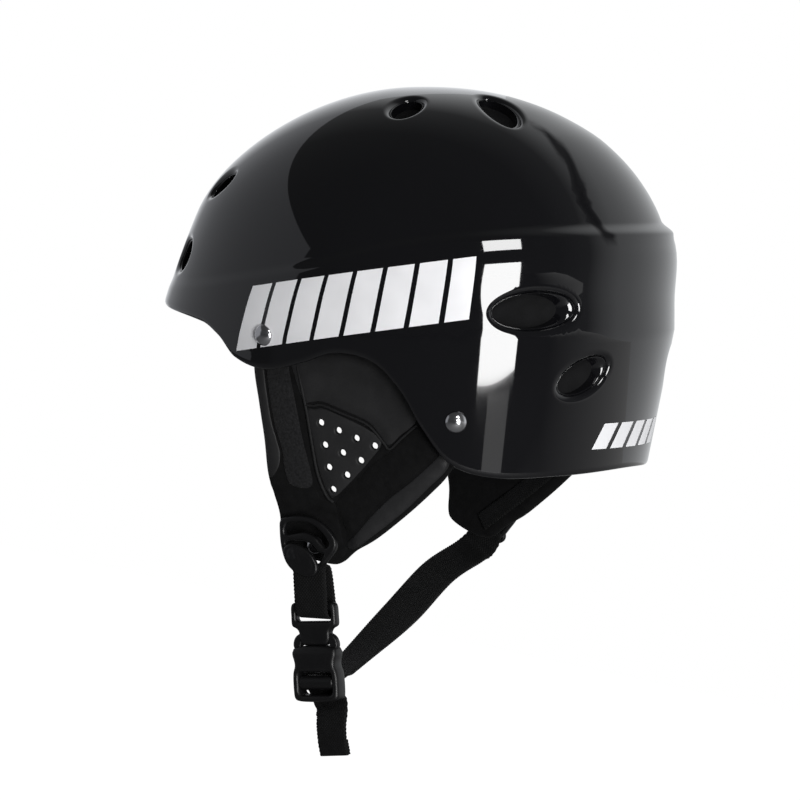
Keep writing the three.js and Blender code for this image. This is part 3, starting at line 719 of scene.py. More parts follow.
# The liner stops above the ear pads.
LINER_RIM = [
    (0, -69), (30, -72), (54, -77.5), (61, -84), (66, -88), (122, -88.5), (128, -96), (133, -143),
    (138, -147.5), (156, -147.8), (180, -146.3),
]
LINER_LIP = [(7, 0), (4.5, 0), (2.2, 0.2), (1.2, 0.8), (1, 1.8)]
LINER_EDGE = [(6, 0), (3.5, 0.0), (1.5, 0.7), (0.4, 2.0), (0, 3.5)]


def liner_rim(azimuth):
    return np.interp(np.abs(wrapped(azimuth)), [k[0] for k in LINER_RIM], [k[1] for k in LINER_RIM])


liner_sheet = dome_sheet(140, 16, 12, liner_rim, LINER_LIP, LINER_EDGE)
liner = dome_solid("liner", liner_sheet, LINER_INNER - LINER_OUTER, LINER_OUTER, FOAM, "liner_foam")
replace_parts(liner, "eva_liner")


# ---- Ducts below the vents ----
DUCT_START = 1.8
DUCT_DEPTH = 15


def vent_duct(name, vent):
    """A gloss tube inwards from a vent's edge. One that leans also narrows, so that it forms a ramp."""
    basis, centre, length, width, tilt, lean = vent
    turn = np.array([[math.cos(tilt), -math.sin(tilt)], [math.sin(tilt), math.cos(tilt)]])
    count, rows, points = 56, 9, []
    for row in range(rows + 1):
        share = row / rows
        grow = 1 - 0.42 * share if lean else 1 - 0.05 * share
        long, wide = (length - 0.4) * grow, (width - 0.4) * (1 - 0.15 * share)
        oval = ellipse(-lean * share, 0, long, wide, 0, count)
        plan = oval @ turn.T
        azimuth, z = onto_dome(centre + plan @ basis[:, :2].T, basis[:, 2])
        surface = shell_point(azimuth, phi_of(z), 0)
        points.append(surface - basis[:, 2] * (DUCT_START + DUCT_DEPTH * smooth(share * 0.9)))
    outer = [p + (p - p.mean(0)) * 0.03 for p in points]
    rings = points + outer[::-1]
    add_mesh(name, np.vstack(rings), ring_faces(len(rings), count, True), SHELL, "helmet", "shell")


for number, vent in enumerate(vent_frames()):
    vent_duct(f"vent_duct_{number // 2 + 1}_{'left' if number % 2 == 0 else 'right'}", vent)


# ---- Graphics: plain slanted bars ----
INK_LIFT = 0.07


def spans_of(count, first, pitch, width):
    """Starts and ends of evenly spaced bars, as shares of the width that they cover."""
    return [(first + pitch * k, first + pitch * k + width) for k in range(count)]


def bars(name, corners, spans, slant, rows):
    """Printed bars on the shell between four corners given as azimuth and height."""
    (a0, z0), (a1, z1), (a2, z2), (a3, z3) = corners
    points, faces, normals = [], [], []
    for left, right in spans:
        across = max(3, int((right - left) * 80))
        first = len(points)
        for j in range(rows + 1):
            v = j / rows
            for i in range(across + 1):
                u = left + (right - left) * i / across + slant * (v - 0.5)
                azimuth = (1 - v) * ((1 - u) * a0 + u * a1) + v * ((1 - u) * a3 + u * a2)
                z = (1 - v) * ((1 - u) * z0 + u * z1) + v * ((1 - u) * z3 + u * z2)
                azimuth, phi = np.float64(azimuth), phi_of(np.float64(z))
                normal = shell_normal(azimuth, phi)
                points.append(shell_point(azimuth, phi) + normal * INK_LIFT)
                normals.append(normal)
        for j in range(rows):
            for i in range(across):
                a = first + j * (across + 1) + i
                faces.append((a, a + 1, a + across + 2, a + across + 1))
    add_mesh(name, points, faces, INK, "helmet", "shell", normals)


# The last side stripe is narrower than the others.
SIDE_STRIPES = spans_of(7, 0.02, 0.125, 0.105) + [(0.895, 0.98)]
SIDE_CORNERS = [(71.4, -63.7), (132.8, -48.6), (133.5, -76.4), (67.2, -93.5)]
BACK_MARK = spans_of(5, 0.0, 0.21, 0.16)
BACK_CORNERS = [(165.5, -126.2), (194.5, -126.2), (194.5, -138), (165.5, -138)]
for side, sign in SIDES.items():
    bars(f"side_stripes_{side}", [(sign * a, z) for a, z in SIDE_CORNERS], SIDE_STRIPES, -0.035, 16)
bars("back_mark", BACK_CORNERS, BACK_MARK, -0.1, 8)


# ---- Rivets, washers and anchors ----
TURNED_SIDES = 40


def turned(name, profile, place):
    """A turned metal solid from (radius, height) points; a radius of 0 closes it on its axis."""
    points, faces, rings = [], [], []
    count = TURNED_SIDES
    for radius, height in profile:
        if radius == 0:
            rings.append([len(points)] * count)
            points.append((0, 0, height))
        else:
            rings.append(list(range(len(points), len(points) + count)))
            angles = np.linspace(0, 2 * math.pi, count, endpoint=False)
            points.extend((radius * math.cos(a), radius * math.sin(a), height) for a in angles)
    for lower, upper in zip(rings, rings[1:]):
        for k in range(count):
            face = [lower[k], lower[(k + 1) % count], upper[(k + 1) % count], upper[k]]
            faces.append(tuple(dict.fromkeys(face)))
    piece = add_mesh(name, place(np.array(points, float)), faces, METAL)
    if profile[0] == profile[-1]:
        work = bmesh.new()
        work.from_mesh(piece.data)
        bmesh.ops.remove_doubles(work, verts=work.verts, dist=1e-7)
        work.to_mesh(piece.data)
        work.free()
    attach(piece, "helmet")
    return piece


def rivet_spots():
    """Name, directions and centre of the place of each rivet on the plain dome."""
    for place_name, (azimuth, height) in RIVETS.items():
        for side, sign in SIDES.items():
            basis, centre = dome_frame(np.float64(azimuth * sign), np.float64(height))
            yield f"{place_name}_{side}", basis, centre


RIVET_PROFILE = [
    (0, -8), (2.4, -8), (2.4, 0.4), (4.6, 0.3), (4.85, 0.4), (4.95, 0.65), (4.85, 0.9), (4.55, 1.25),
    (4.1, 1.7), (3.4, 2.25), (2.5, 2.7), (1.5, 3.0), (0.7, 3.1), (0, 3.12),
]
WASHER_PROFILE = [(2.8, -6.9), (5.8, -6.9), (6, -6.7), (6, -5.9), (5.8, -5.7), (2.8, -5.7), (2.8, -6.9)]
for key, basis, centre in rivet_spots():
    def set_in(rows, basis=basis, centre=centre):
        return centre + rows @ basis.T

    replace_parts(turned(f"rivet_head_{key}", RIVET_PROFILE, set_in), f"rivet_{key}")
    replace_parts(turned(f"washer_{key}", WASHER_PROFILE, set_in), f"rivet_washer_{key}")


# ---- Webbing ----
RIB_HEIGHT = 0.13
RIB_PITCH = 1.75
STRAP_COLUMNS = 12


def ribbon(name, centres, width_at, width, thickness, body, closed=False):
    """A woven strap along a curve of evenly spaced points, with ribs across it and a serrated edge.
    width_at gives the direction of its width from the share of the curve that lies behind."""
    p = np.asarray(centres, float)
    n = len(p)
    ahead = np.roll(p, -1, 0) - np.roll(p, 1, 0)
    if not closed:
        ahead[0], ahead[-1] = p[1] - p[0], p[-1] - p[-2]
    ahead /= np.linalg.norm(ahead, axis=1, keepdims=True)
    run = np.concatenate([[0], np.cumsum(np.linalg.norm(np.diff(p, axis=0), axis=1))])
    points, lengths, faces = [], [], []
    per_row = 2 * (STRAP_COLUMNS + 1)
    for i in range(n):
        across = np.array(width_at(i / (n - 1)), float)
        across -= ahead[i] * (across @ ahead[i])
        across /= np.linalg.norm(across)
        face = np.cross(ahead[i], across)
        wave = math.sin(2 * math.pi * run[i] / RIB_PITCH)
        wide = width + RIB_HEIGHT * 2.4 * wave
        for side in (1, -1):
            for k in range(STRAP_COLUMNS + 1):
                v = k / STRAP_COLUMNS * side - (side - 1) / 2 - 0.5
                edge = min(1.0, (0.5 - abs(v)) * width / 1.2)
                thinned = 0.45 + 0.55 * math.sqrt(1 - (1 - edge) ** 2)
                half = thickness / 2 * thinned + RIB_HEIGHT * 0.5 * wave * edge
                points.append(p[i] + across * v * wide + face * half * side)
                lengths.append((run[i], v * width))
    rows = n if closed else n - 1
    for i in range(rows):
        a, b = i * per_row, ((i + 1) % n) * per_row
        for k in range(per_row):
            m = (k + 1) % per_row
            faces.append((a + k, b + k, b + m, a + m))
    if not closed:
        for i, flip in ((0, False), (n - 1, True)):
            base = i * per_row
            for k in range(STRAP_COLUMNS):
                quad = [base + k, base + k + 1, base + per_row - 2 - k, base + per_row - 1 - k]
                faces.append(tuple(quad[::-1] if flip else quad))
    piece = add_mesh(name, points, faces, WEBBING, body, "webbing")
    layer = piece.data.uv_layers.new(name="weave")
    for loop in piece.data.loops:
        layer.data[loop.index].uv = lengths[loop.vertex_index]
    return piece


def evenly(points, step=0.5, closed=False):
    """A smooth curve through the points, resampled so that its points are a step apart."""
    fine = round_off(points, step / 4, closed)
    if closed:
        fine = np.vstack([fine, fine[:1]])
    run = np.concatenate([[0], np.cumsum(np.linalg.norm(np.diff(fine, axis=0), axis=1))])
    count = int(run[-1] / step) + 1
    at = np.linspace(0, run[-1], count + (1 if closed else 0))
    at = at[:-1] if closed else at
    return np.stack([np.interp(at, run, fine[:, k]) for k in range(fine.shape[1])], 1)


ANCHOR_ROUTE = np.array([(0, 8, -5.0), (0, 3, -5.1), (0, -4, -5.1), (0, -13.5, -4.9)])
for key, basis, centre in rivet_spots():
    route = evenly(centre + ANCHOR_ROUTE @ basis.T)
    tab = ribbon(f"anchor_tab_{key}", route, lambda u, b=basis: b[:, 0], 18, 1.2, "helmet")
    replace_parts(tab, f"strap_anchor_{key}")


# ---- Comfort pads ----
VOXEL = 2.8
CLOTH_FRAMES = 20
CLOTH = {
    "quality": 5, "mass": 0.2, "use_pressure": True, "uniform_pressure_force": 4,
    "tension_stiffness": 12, "compression_stiffness": 12, "bending_stiffness": 0.4,
}
# The largest move that counts, and how much of the cloth's move the pad takes.
PAD_CAP = 3.0
PAD_SWELL = 0.5
PAD_FILLS = {
    "crown_pad": 0.6, "brow_pad": 0.7, "nape_pad": 0.7, "side_pad_left": 0.7, "side_pad_right": 0.7,
}


def soft_pad(node, name, fill):
    """A comfort pad swelled by a cloth simulation from its CAD solid."""
    piece = bpy.data.objects.new(name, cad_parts[node].data.copy())
    bpy.context.collection.objects.link(piece)
    remesh = piece.modifiers.new("remesh", "REMESH")
    remesh.mode = "VOXEL"
    remesh.voxel_size = VOXEL * MM
    evaluated = piece.evaluated_get(bpy.context.evaluated_depsgraph_get())
    even = bpy.data.meshes.new_from_object(evaluated)
    piece.modifiers.clear()
    piece.data = even
    rest = np.array([v.co for v in even.vertices])
    cloth = piece.modifiers.new("cloth", "CLOTH")
    for key, value in CLOTH.items():
        setattr(cloth.settings, key, value)
    cloth.settings.effector_weights.gravity = 0
    cloth.point_cache.frame_start = 1
    cloth.point_cache.frame_end = CLOTH_FRAMES
    for number in range(1, CLOTH_FRAMES + 1):
        bpy.context.scene.frame_set(number)
    evaluated = piece.evaluated_get(bpy.context.evaluated_depsgraph_get())
    swelled = np.array([v.co for v in evaluated.data.vertices])
    move = swelled - rest
    size = np.linalg.norm(move, axis=1, keepdims=True)
    move *= np.minimum(1, PAD_CAP * MM / np.maximum(size, 1e-9))
    piece.modifiers.clear()
    bpy.context.scene.frame_set(1)
    even.vertices.foreach_set("co", (rest + move * PAD_SWELL).astype(np.float32).ravel())
    work = bmesh.new()
    work.from_mesh(even)
    bmesh.ops.subdivide_edges(work, edges=work.edges, cuts=1, use_grid_fill=True, smooth=0.6)
    bmesh.ops.smooth_vert(work, verts=work.verts, factor=0.5,
                          use_axis_x=True, use_axis_y=True, use_axis_z=True)
    work.to_mesh(even)
    work.free()
    even.polygons.foreach_set("use_smooth", [True] * len(even.polygons))
    even.materials.clear()
    even.materials.append(JERSEY)
    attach(piece, "helmet")
    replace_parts(piece, node)


for node, fill_share in PAD_FILLS.items():
    soft_pad(node, f"soft_{node}", fill_share)


# ---- Ear pads ----
PAD_OUTLINE = [
    (-37, 4.9), (-35.4, -12.3), (-33.7, -27.4), (-32.4, -46), (-30, -55.5), (-27.6, -64.9),
    (-27, -75.8), (-24, -81), (-14, -86), (-3, -88.6), (3, -87.2), (10, -81.6), (20.7, -75.4),
    (36.4, -63.4), (48, -53.4), (56, -45.6), (60, -38), (57.5, -27), (51.5, -15), (43.5, -2.5),
    (31.5, 7), (14, 12.5), (-14, 12.8), (-34, 11),
]
PAD_FACE = 4.2
PAD_ROUND = 3.4
PAD_STEP = 1.9
# Four slanting rows of holes, each row one hole shorter than the one above it.
PERFORATIONS = [
    (-2.9 + 8.7 * i + 1.5 * row, -20.7 - 3.4 * i - 10.4 * row)
    for row in range(4) for i in range(4 - row)
]
PERFORATION_RADIUS = 1.6
# Centre and half sizes of the dished cup on the inner face.
EAR_CUP = (9, -31, 25, 29)
# Centre, reach and depth of the hollow that the strap ring presses into the outer face.
RING_DENT = (-8.6, -78.5, 21, 2.0)
pad_edge = round_off(PAD_OUTLINE, 1.3)


def ear_place(sign):
    back = np.array([-sign * math.sin(EAR_YAW), math.cos(EAR_YAW), 0])
    lean = math.sin(EAR_LEAN)
    up = np.array([sign * lean * math.cos(EAR_YAW), lean * math.sin(EAR_YAW), math.cos(EAR_LEAN)])
    out = sign * np.cross(back, up)
    origin = np.array([sign * 85.0, 0, -105])
    return lambda rows: origin + rows @ np.stack([back, up, out])


def ripple(flat, pitch, seed):
    """Slow unevenness of sewn fabric, from -1 to 1."""
    return np.array([noise.noise(Vector((x / pitch, y / pitch, seed))) for x, y in flat])


def pad_top(flat):
    """Height of the pad's outer face, pressed in under the strap ring."""
    edge = np.clip(edge_distance(flat, [pad_edge]) / 9, 0, 1)
    cx, cy, reach, depth = RING_DENT
    dent = depth * smooth((reach - np.hypot(flat[:, 0] - cx, flat[:, 1] - cy)) / 6)
    return PAD_FACE - 1.3 * (1 - edge) ** 2 + 0.45 * ripple(flat, 17, 3.1) - dent


def pad_bottom(flat):
    """Height of the inner face, with the dished ear cup."""
    cx, cy, rx, ry = EAR_CUP
    radius = np.hypot((flat[:, 0] - cx) / rx, (flat[:, 1] - cy) / ry)
    dish = 5.2 * smooth((1.02 - radius) / 0.25)
    ring = 0.9 * np.exp(-((radius - 1.12) / 0.09) ** 2)
    return -PAD_FACE + dish - ring + 0.3 * ripple(flat, 14, 8.4)


def covered_top(flat):
    """Height of the pad's outer face with its rounded edge."""
    return pad_top(flat) - PAD_ROUND * 0.9 * edge_drop(edge_distance(flat, [pad_edge]), PAD_ROUND)


def cover(lift, crown, outline):
    """Height of a sewn panel on the pad: it dips to its seam and swells between."""
    def height(flat):
        d = edge_distance(flat, [outline])
        return covered_top(flat) + lift + crown * smooth(d / 4.5) + 0.15 * ripple(flat, 7, 5.5)
    return height


def panel_base(flat):
    """Height of the underside of a sewn panel, sunk into the pad."""
    return covered_top(flat) - 0.7


# Outlines on the pad, as distances behind its origin and above it.
FRONT_STRIP = [
    (-36, 10.5), (-36.1, 3), (-34.5, -12), (-32.9, -27), (-31.5, -42), (-30.6, -47.2), (-28.6, -46.8),
    (-25.2, -42), (-24.2, -36), (-25.4, -30), (-28.3, -18), (-30.4, 3.2), (-30.4, 10.5),
]
LOOP_STRIP = [
    (-29.4, 10.5), (-29.2, 3.2), (-27, -18.5), (-23.1, -34), (-22.6, -41), (-19.6, -50), (-8.8, -50),
    (-12.3, -29.7), (-17.9, 4.5), (-18.2, 10.5),
]
UPPER_PANEL = [
    (-16.7, 10.8), (-16, 4), (-11.4, -10.4), (-7, -11.2), (-2.1, -10.9), (8.4, -14.6), (20.5, -19.8),
    (25, -24.5), (30, -30.4), (36.3, -25.6), (44.2, -19), (45.5, -8), (31, 6), (14, 11),
]
MESH_PANEL = [
    (-9.6, -15), (-6, -14.6), (-1.5, -14.2), (8, -17.7), (19.8, -23), (26.6, -29), (20, -38.4),
    (3.2, -54.8), (-1.2, -53.2), (-5.2, -42.5), (-8, -25),
]
LOWER_PANEL = [
    (30.4, -33.6), (36.8, -28.2), (45, -21.6), (51.5, -26.5), (53.6, -33.2), (41, -45.2), (29.3, -53.6),
    (19.4, -62.4), (12, -70.6), (7, -71.5), (4.2, -62), (3.6, -57), (21.2, -39.8),
]
BINDING_STRIP = [
    (55.2, -31.5), (54.3, -35), (41.2, -46.6), (29.6, -55.2), (19.8, -64.2), (12.4, -72.3),
    (6.4, -77.8), (9.4, -80.6), (21.8, -72.2), (36.4, -61), (48.3, -50.2), (56.5, -42.6), (59, -37.6),
    (57.2, -31.5),
]
TIP_PANEL = [
    (-31, -50.2), (-28, -48.4), (-22.6, -51.4), (-8.2, -51.6), (-4.5, -56.4), (2, -58.4), (3.4, -70),
    (4.8, -78), (6.4, -80.4), (2.6, -85.2), (-3, -86.7), (-13.6, -84.3), (-22.8, -79.8), (-25.4, -75.2),
    (-26, -65), (-28.4, -56.4),
]
CORD_SEAM = [(-13.8, 10.5), (-13.2, 4.5), (-9.4, -18.9), (-6.2, -42.5), (-1.9, -54.8), (1.5, -58)]
RIDGE_SEAM = [
    (-10.6, -12.6), (-6, -12.9), (-2, -12.5), (8.2, -16.2), (20.6, -21.4), (27.8, -29.4), (30.6, -32.2),
    (36.6, -27.1), (44.8, -20.4),
]
# Name, outline, look, slot, lift at the seam, swell, and the CAD pieces that the panel replaces.
PAD_PANELS = [
    ("ear_front_strip", FRONT_STRIP, LINING, "ear_pad_foam", 0.35, 0.55, []),
    ("ear_loop_strip", LOOP_STRIP, TAPE, "webbing", 0.5, 0.5, ["front_strap"]),
    ("ear_upper_panel", UPPER_PANEL, LINING, "ear_pad_foam", 0.35, 0.7, []),
    ("ear_mesh_panel", MESH_PANEL, LINING, "ear_pad_foam", 0.45, 0.5, ["ear_panel"]),
    ("ear_lower_panel", LOWER_PANEL, DARK, "ear_pad_foam", 0.35, 0.7, []),
    ("ear_binding", BINDING_STRIP, BINDING, "ear_pad_foam", 0.45, 0.35, []),
    ("ear_tip_panel", TIP_PANEL, DARK, "ear_pad_foam", 0.35, 0.5, []),
]


def fold_bend(piece, side, place):
    """Works out the ends of the fold line across the ear pad, then bakes the piece's placement into its
    mesh; the piece is not bent.
    """
    along = Vector((FOLD_REAR[0] - FOLD_FRONT[0], FOLD_REAR[1] - FOLD_FRONT[1])).normalized()
    middle = np.array([(FOLD_FRONT[0] + FOLD_REAR[0]) / 2, (FOLD_FRONT[1] + FOLD_REAR[1]) / 2])
    across = np.array([-along.y, along.x])
    above, below = middle + 6 * across, middle - 6 * across
    ends = place(np.array([[*above, 0], [*below, 0]])) * MM
    Vector(ends[0])
    Vector(ends[1])
    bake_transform(piece)


def seam_cord(name, line, radius, place, lift, sides=8):
    """A piped seam along a line on the pad: a round tube of thread with flat ends."""
    flat = round_off(line, 1.2, closed=False)
    centres = place(np.column_stack([flat, covered_top(flat) + lift]))
    ahead = np.gradient(centres, axis=0)
    ahead /= np.linalg.norm(ahead, axis=1, keepdims=True)
    helper = np.array([0.31, 0.2, 0.93])
    points = []
    for p, t in zip(centres, ahead):
        u = np.cross(t, helper)
        u /= np.linalg.norm(u)
        v = np.cross(t, u)
        for k in range(sides):
            a = 2 * math.pi * k / sides
            points.append(p + radius * (math.cos(a) * u + math.sin(a) * v))
    faces = ring_faces(len(centres), sides)
    faces.append(tuple(range(sides)))
    faces.append(tuple(range(len(points) - sides, len(points)))[::-1])
    return add_mesh(name, points, faces, THREAD)


# The rear strap on the pad's hidden face: its route, and the direction of its width.
REAR_ROUTE = np.array([(57, -37.5, -5.0), (40, -50, -5.3), (20, -65, -5.2), (-3, -81, -5.0)])
REAR_WIDTH = np.array([[0.63, 0.78, 0]])
PAD_SEAMS = [("ear_cord_seam", CORD_SEAM, 0.75, 0.25), ("ear_ridge_seam", RIDGE_SEAM, 0.6, 0.3)]
for side, sign in SIDES.items():
    place = ear_place(sign)
    holes = [ellipse(x, y, PERFORATION_RADIUS, PERFORATION_RADIUS, 0, 16) for x, y in PERFORATIONS]
    pad = slab(f"ear_pad_body_{side}", pad_edge, holes, pad_top, pad_bottom, PAD_ROUND, PAD_STEP, place,
               DARK, slot="ear_pad_foam")
    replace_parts(pad, f"ear_pad_{side}", f"ear_pad_top_{side}")
    fold_bend(pad, side, place)
    for name, outline, material, slot_name, lift, crown, nodes in PAD_PANELS:
        edge = round_off(outline, 1.1)
        cuts = holes if name == "ear_mesh_panel" else []
        piece = slab(f"{name}_{side}", edge, cuts, cover(lift, crown, edge), panel_base, 0.9, 1.7,
                     place, material, slot=slot_name)
        if nodes:
            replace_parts(piece, *[f"{node}_{side}" for node in nodes])
        fold_bend(piece, side, place)
    for name, line, radius, lift in PAD_SEAMS:
        piece = seam_cord(f"{name}_{side}", line, radius, place, lift)
        fold_bend(piece, side, place)
    wide = place(REAR_WIDTH)[0] - place(np.zeros((1, 3)))[0]
    route = evenly(place(REAR_ROUTE))
    lower_strap = ribbon(f"ear_rear_strap_{side}", route, lambda u, w=wide: w, 9, 1.2,
                         f"ear_flap_{side}")
    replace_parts(lower_strap, f"rear_strap_{side}")


# ---- Strap rings ----
RING_OUTLINE = [
    (-15.2, 11.2), (-10, 13), (-4, 13.5), (2, 12.8), (6.8, 10.7), (11.5, 7), (14.6, 2.8), (14.2, -1.4),
    (10.5, -6.2), (6, -11), (0, -13.8), (-6.5, -13.4), (-12, -9), (-14.8, -2), (-15.8, 6),
]
RING_OPENING = [
    (-11.7, 9.6), (-7.5, 10.6), (-3.1, 10.8), (2.4, 9.5), (6.8, 6.5), (9.6, 3.6), (11, 1), (9.2, -0.8),
    (6, 1.6), (3.2, 4), (-2.6, 5.9), (-12.4, 4.6),
]
RING_LOWER_OPENING = [
    (-12.2, 1), (-7, 1.9), (-2.7, 1.8), (2.2, 0.2), (5.5, -3), (8.4, -3.8), (6.4, -7), (2, -9.8),
    (-5, -10), (-10.4, -6),
]
# Centre, half sizes and tilt of the oval badge.
BADGE = (-2.9, -6.9, 10.4, 6.1, -33)
STUD_PROFILE = [(0, -3.7), (3.6, -3.7), (4, -3.4), (4, -1.7), (3.6, -1.4), (0, -1.4)]


def moulding(name, outline, holes, top, bottom, rounding, step, place, body):
    """A closed nylon plate; see slab."""
    return slab(name, outline, holes, top, bottom, rounding, step, place, NYLON, body, "buckle_plastic")


def ring_place(sign):
    centre = np.array([sign * RING_CENTRE.x, RING_CENTRE.y, RING_CENTRE.z])
    return lambda rows: centre + np.stack([sign * rows[:, 2], rows[:, 0], rows[:, 1]], 1)


def badge_top(flat):
    cx, cy, rx, ry, tilt = BADGE
    c, s = math.cos(math.radians(tilt)), math.sin(math.radians(tilt))
    x, y = flat[:, 0] - cx, flat[:, 1] - cy
    u, v = (x * c + y * s) / rx, (y * c - x * s) / ry
    radius = np.hypot(u, v)
    groove = 0.35 * np.exp(-((radius - 0.78) / 0.05) ** 2)
    chevron = 0.3 * smooth((0.16 - np.abs(np.abs(v) * 0.9 + u * 0.8 + 0.05)) / 0.06) * (radius < 0.6)
    return 5.2 + 0.8 * (1 - radius ** 2) - groove + chevron


for side, sign in SIDES.items():
    place = ring_place(sign)
    body = "chin_strap" if side == "left" else "ring_right"
    holes = [round_off(RING_OPENING, 0.8), round_off(RING_LOWER_OPENING, 0.8)]
    ring = moulding(f"strap_ring_frame_{side}", round_off(RING_OUTLINE, 0.8), holes, level(2.6),
                    level(-1.0), 1.25, 1.0, place, body)
    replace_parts(ring, f"strap_ring_{side}")
    badge = moulding(f"ring_cap_{side}", ellipse(*BADGE, 72), [], badge_top, level(2.65), 1.1, 0.7,
                     place, body)
    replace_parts(badge, f"ring_badge_{side}")
    stud = turned(f"stud_{side}", STUD_PROFILE, lambda rows, p=place: p(rows + [1.0, 0, 0]))
    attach(stud, f"ring_pivot_{side}")
    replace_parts(stud, f"ring_stud_{side}")


# ---- Chin strap and buckle ----
def chin_place(rows):
    """From (back, up, out) beside the left ring's centre, with the chin assembly's tilt."""
    c, s = math.cos(CHIN_TILT), math.sin(CHIN_TILT)
    y, z, x = rows[:, 0], rows[:, 1], rows[:, 2]
    return np.array(RING_CENTRE) + np.stack([x, y * c - z * s, y * s + z * c], 1)


def chin_point(back, up, out):
    return chin_place(np.array([[back, up, out]], float))[0]


def mirrored(half):
    """Half an outline and its mirror image, from its last point on the centre line back."""
    return half + [(-x, y) for x, y in half[-2::-1]]


LEFT_LOOP = [
    (-11, 3.6), (-20, 3.9), (-28, 3.9), (-32, 3.3), (-33.4, 0.2), (-32, -3.2), (-28, -3.8), (-20, -3.2),
    (-12.5, -2.2), (-9.6, -0.8), (-8.9, 1.5), (-9.6, 3.2),
]
loop = evenly([chin_point(0.6, up, out) for up, out in LEFT_LOOP], 0.5, True)
left_strap = ribbon("left_strap_loop", loop, lambda u: (0, 1, 0), 17.2, 1.3, "chin_strap", closed=True)
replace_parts(left_strap, "left_chin_strap")

FRAME_WINDOW = rounded_box(-9.2, -35.2, 9.2, -30.4, 1.2)
FRAME_HALF = [
    (-10.4, -26.6), (-11.9, -28.4), (-12.1, -33), (-11.9, -37.2), (-9.5, -38.8), (-8.3, -40.5),
    (-8.2, -43.5), (-6.4, -46.2), (-3, -46.6), (0, -46.6),
]
frame_outline = round_off(mirrored(FRAME_HALF) + [(7.5, -27), (0, -27), (-7.5, -27)], 0.8)
plug = moulding("buckle_male", frame_outline, [FRAME_WINDOW], level(2.6), level(-2.6), 1.7, 0.9,
                chin_place, "chin_strap")
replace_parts(plug, "buckle_plug")
moulding("buckle_tongue", rounded_box(-2.4, -58, 2.4, -44, 1), [], level(1.5), level(-1.5), 0.8, 1.0,
         chin_place, "chin_strap")
PRONG_OUTLINE = [
    (5.2, -41.8), (8.2, -41), (11, -43), (12, -46.5), (10.6, -50), (10.4, -53.2), (9.3, -57.8),
    (6.2, -59.6), (5.4, -55), (6.8, -50), (7.8, -47), (6.6, -44.2),
]
for name, way in (("front", -1), ("rear", 1)):
    arm = round_off(PRONG_OUTLINE, 0.7)
    piece = moulding(f"buckle_arm_{name}", arm * [way, 1], [], level(1.9), level(-1.9), 1.1, 0.8,
                     chin_place, f"prong_{name}")
    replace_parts(piece, f"prong_{name}")

SOCKET_HALF = [
    (-9.5, -47.2), (-11.4, -48), (-11.9, -50.5), (-11.1, -53.5), (-10.9, -56), (-11.8, -58.6),
    (-12.2, -62), (-12.2, -68), (-11.6, -71), (-9, -72.3), (0, -72.6),
]
socket_outline = round_off(mirrored(SOCKET_HALF) + [(5, -46.6), (0, -46.5), (-5, -46.6)], 0.8)
SOCKET_WINDOW = rounded_box(-8.9, -69.4, 8.9, -58.6, 2)


def socket_face(side):
    """Height of a face of the socket, bulged across and stepped down at its mouth."""
    def height(flat):
        bulge = 0.55 * np.clip(1 - (flat[:, 0] / 12) ** 2, 0, 1)
        step = 0.5 * smooth((flat[:, 1] + 49.6) / 0.9)
        return side * (4.2 + bulge - step)
    return height


def bar_top(flat):
    """Height of the ladder bar's face, which is highest along its middle."""
    return 3.8 - 0.17 * (flat[:, 1] + 63.8) ** 2


socket = moulding("buckle_female", socket_outline, [SOCKET_WINDOW], socket_face(1), socket_face(-1),
                  1.9, 0.8, chin_place, "buckle_half")
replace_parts(socket, "buckle_socket")
moulding("buckle_bar", rounded_box(-9.2, -67.3, 9.2, -60.3, 0.6), [], bar_top, level(-1.4), 1.2, 0.6,
         chin_place, "buckle_half")

TAIL_ROUTE = [
    (-0.5, -59.3, -2.7), (-0.5, -62, -2.8), (-0.5, -66.5, -3.6), (-0.3, -70.4, -5.5), (2.0, -74, -5.4),
    (4.1, -78, -3.3), (4.2, -84, -1.6), (3.9, -92, -2.2), (4.3, -98.2, -2.8),
]
HEM_ROUTE = [(4.0, -90.5, -3.3), (4.1, -94, -3.9), (4.4, -98, -4.1)]
tail_line = evenly([chin_point(*p) for p in TAIL_ROUTE])
tail = ribbon("loose_end", tail_line, lambda u: (0.05 + 0.1 * u, 1, 0.02), 17, 1.3, None)
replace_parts(tail, "strap_tail")
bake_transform(tail)
hem_line = evenly([chin_point(*p) for p in HEM_ROUTE])
ribbon("loose_end_hem", hem_line, lambda u: (0.15, 1, 0.02), 16.8, 1.1, "tail")

RIGHT_ROUTE = [
    (-84.9, -9.5, -189), (-85.4, -12, -195.3), (-81, -17, -201), (-50, -18, -209), (0, -10, -223),
    (45, -6, -237), (70, -3.2, -243.5), (79, -2, -244.2), (82.4, -3, -246.3),
]


def right_width(u):
    """Direction of the right strap's width, which turns from its ring's slot to the buckle's."""
    turn = float(smooth((u - 0.45) / 0.5))
    start = np.array([-0.2 * float(smooth(u / 0.12)), 0.85, -0.45])
    return start * (1 - turn) + np.array([0.05, 1.0, 0.07]) * turn


right_strap = ribbon("right_strap", evenly(RIGHT_ROUTE), right_width, 17.6, 1.3, None)
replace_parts(right_strap, "right_chin_strap")
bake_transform(right_strap)


# ---- Floor, light and surroundings ----
FLOOR_LEVEL = -750.0
# In metres from under the helmet. The floor ends nearer on the side that mirrors in the rear skirt.
FLOOR_NEAR = 2.1
FLOOR_FAR = 9.0
FLOOR_TURN = math.radians(-30)
# Azimuth and elevation of the brightest background, then its grey by how near a direction is to it.
BEHIND = (-105, -4)
BACKGROUND = [(0.0, 0.05), (0.5, 0.06), (0.66, 0.12), (0.74, 0.4), (0.82, 0.62), (1.0, 0.75)]


def direction(azimuth, elevation):
    a, e = math.radians(azimuth), math.radians(elevation)
    return Vector((math.sin(a) * math.cos(e), -math.cos(a) * math.cos(e), math.sin(e)))


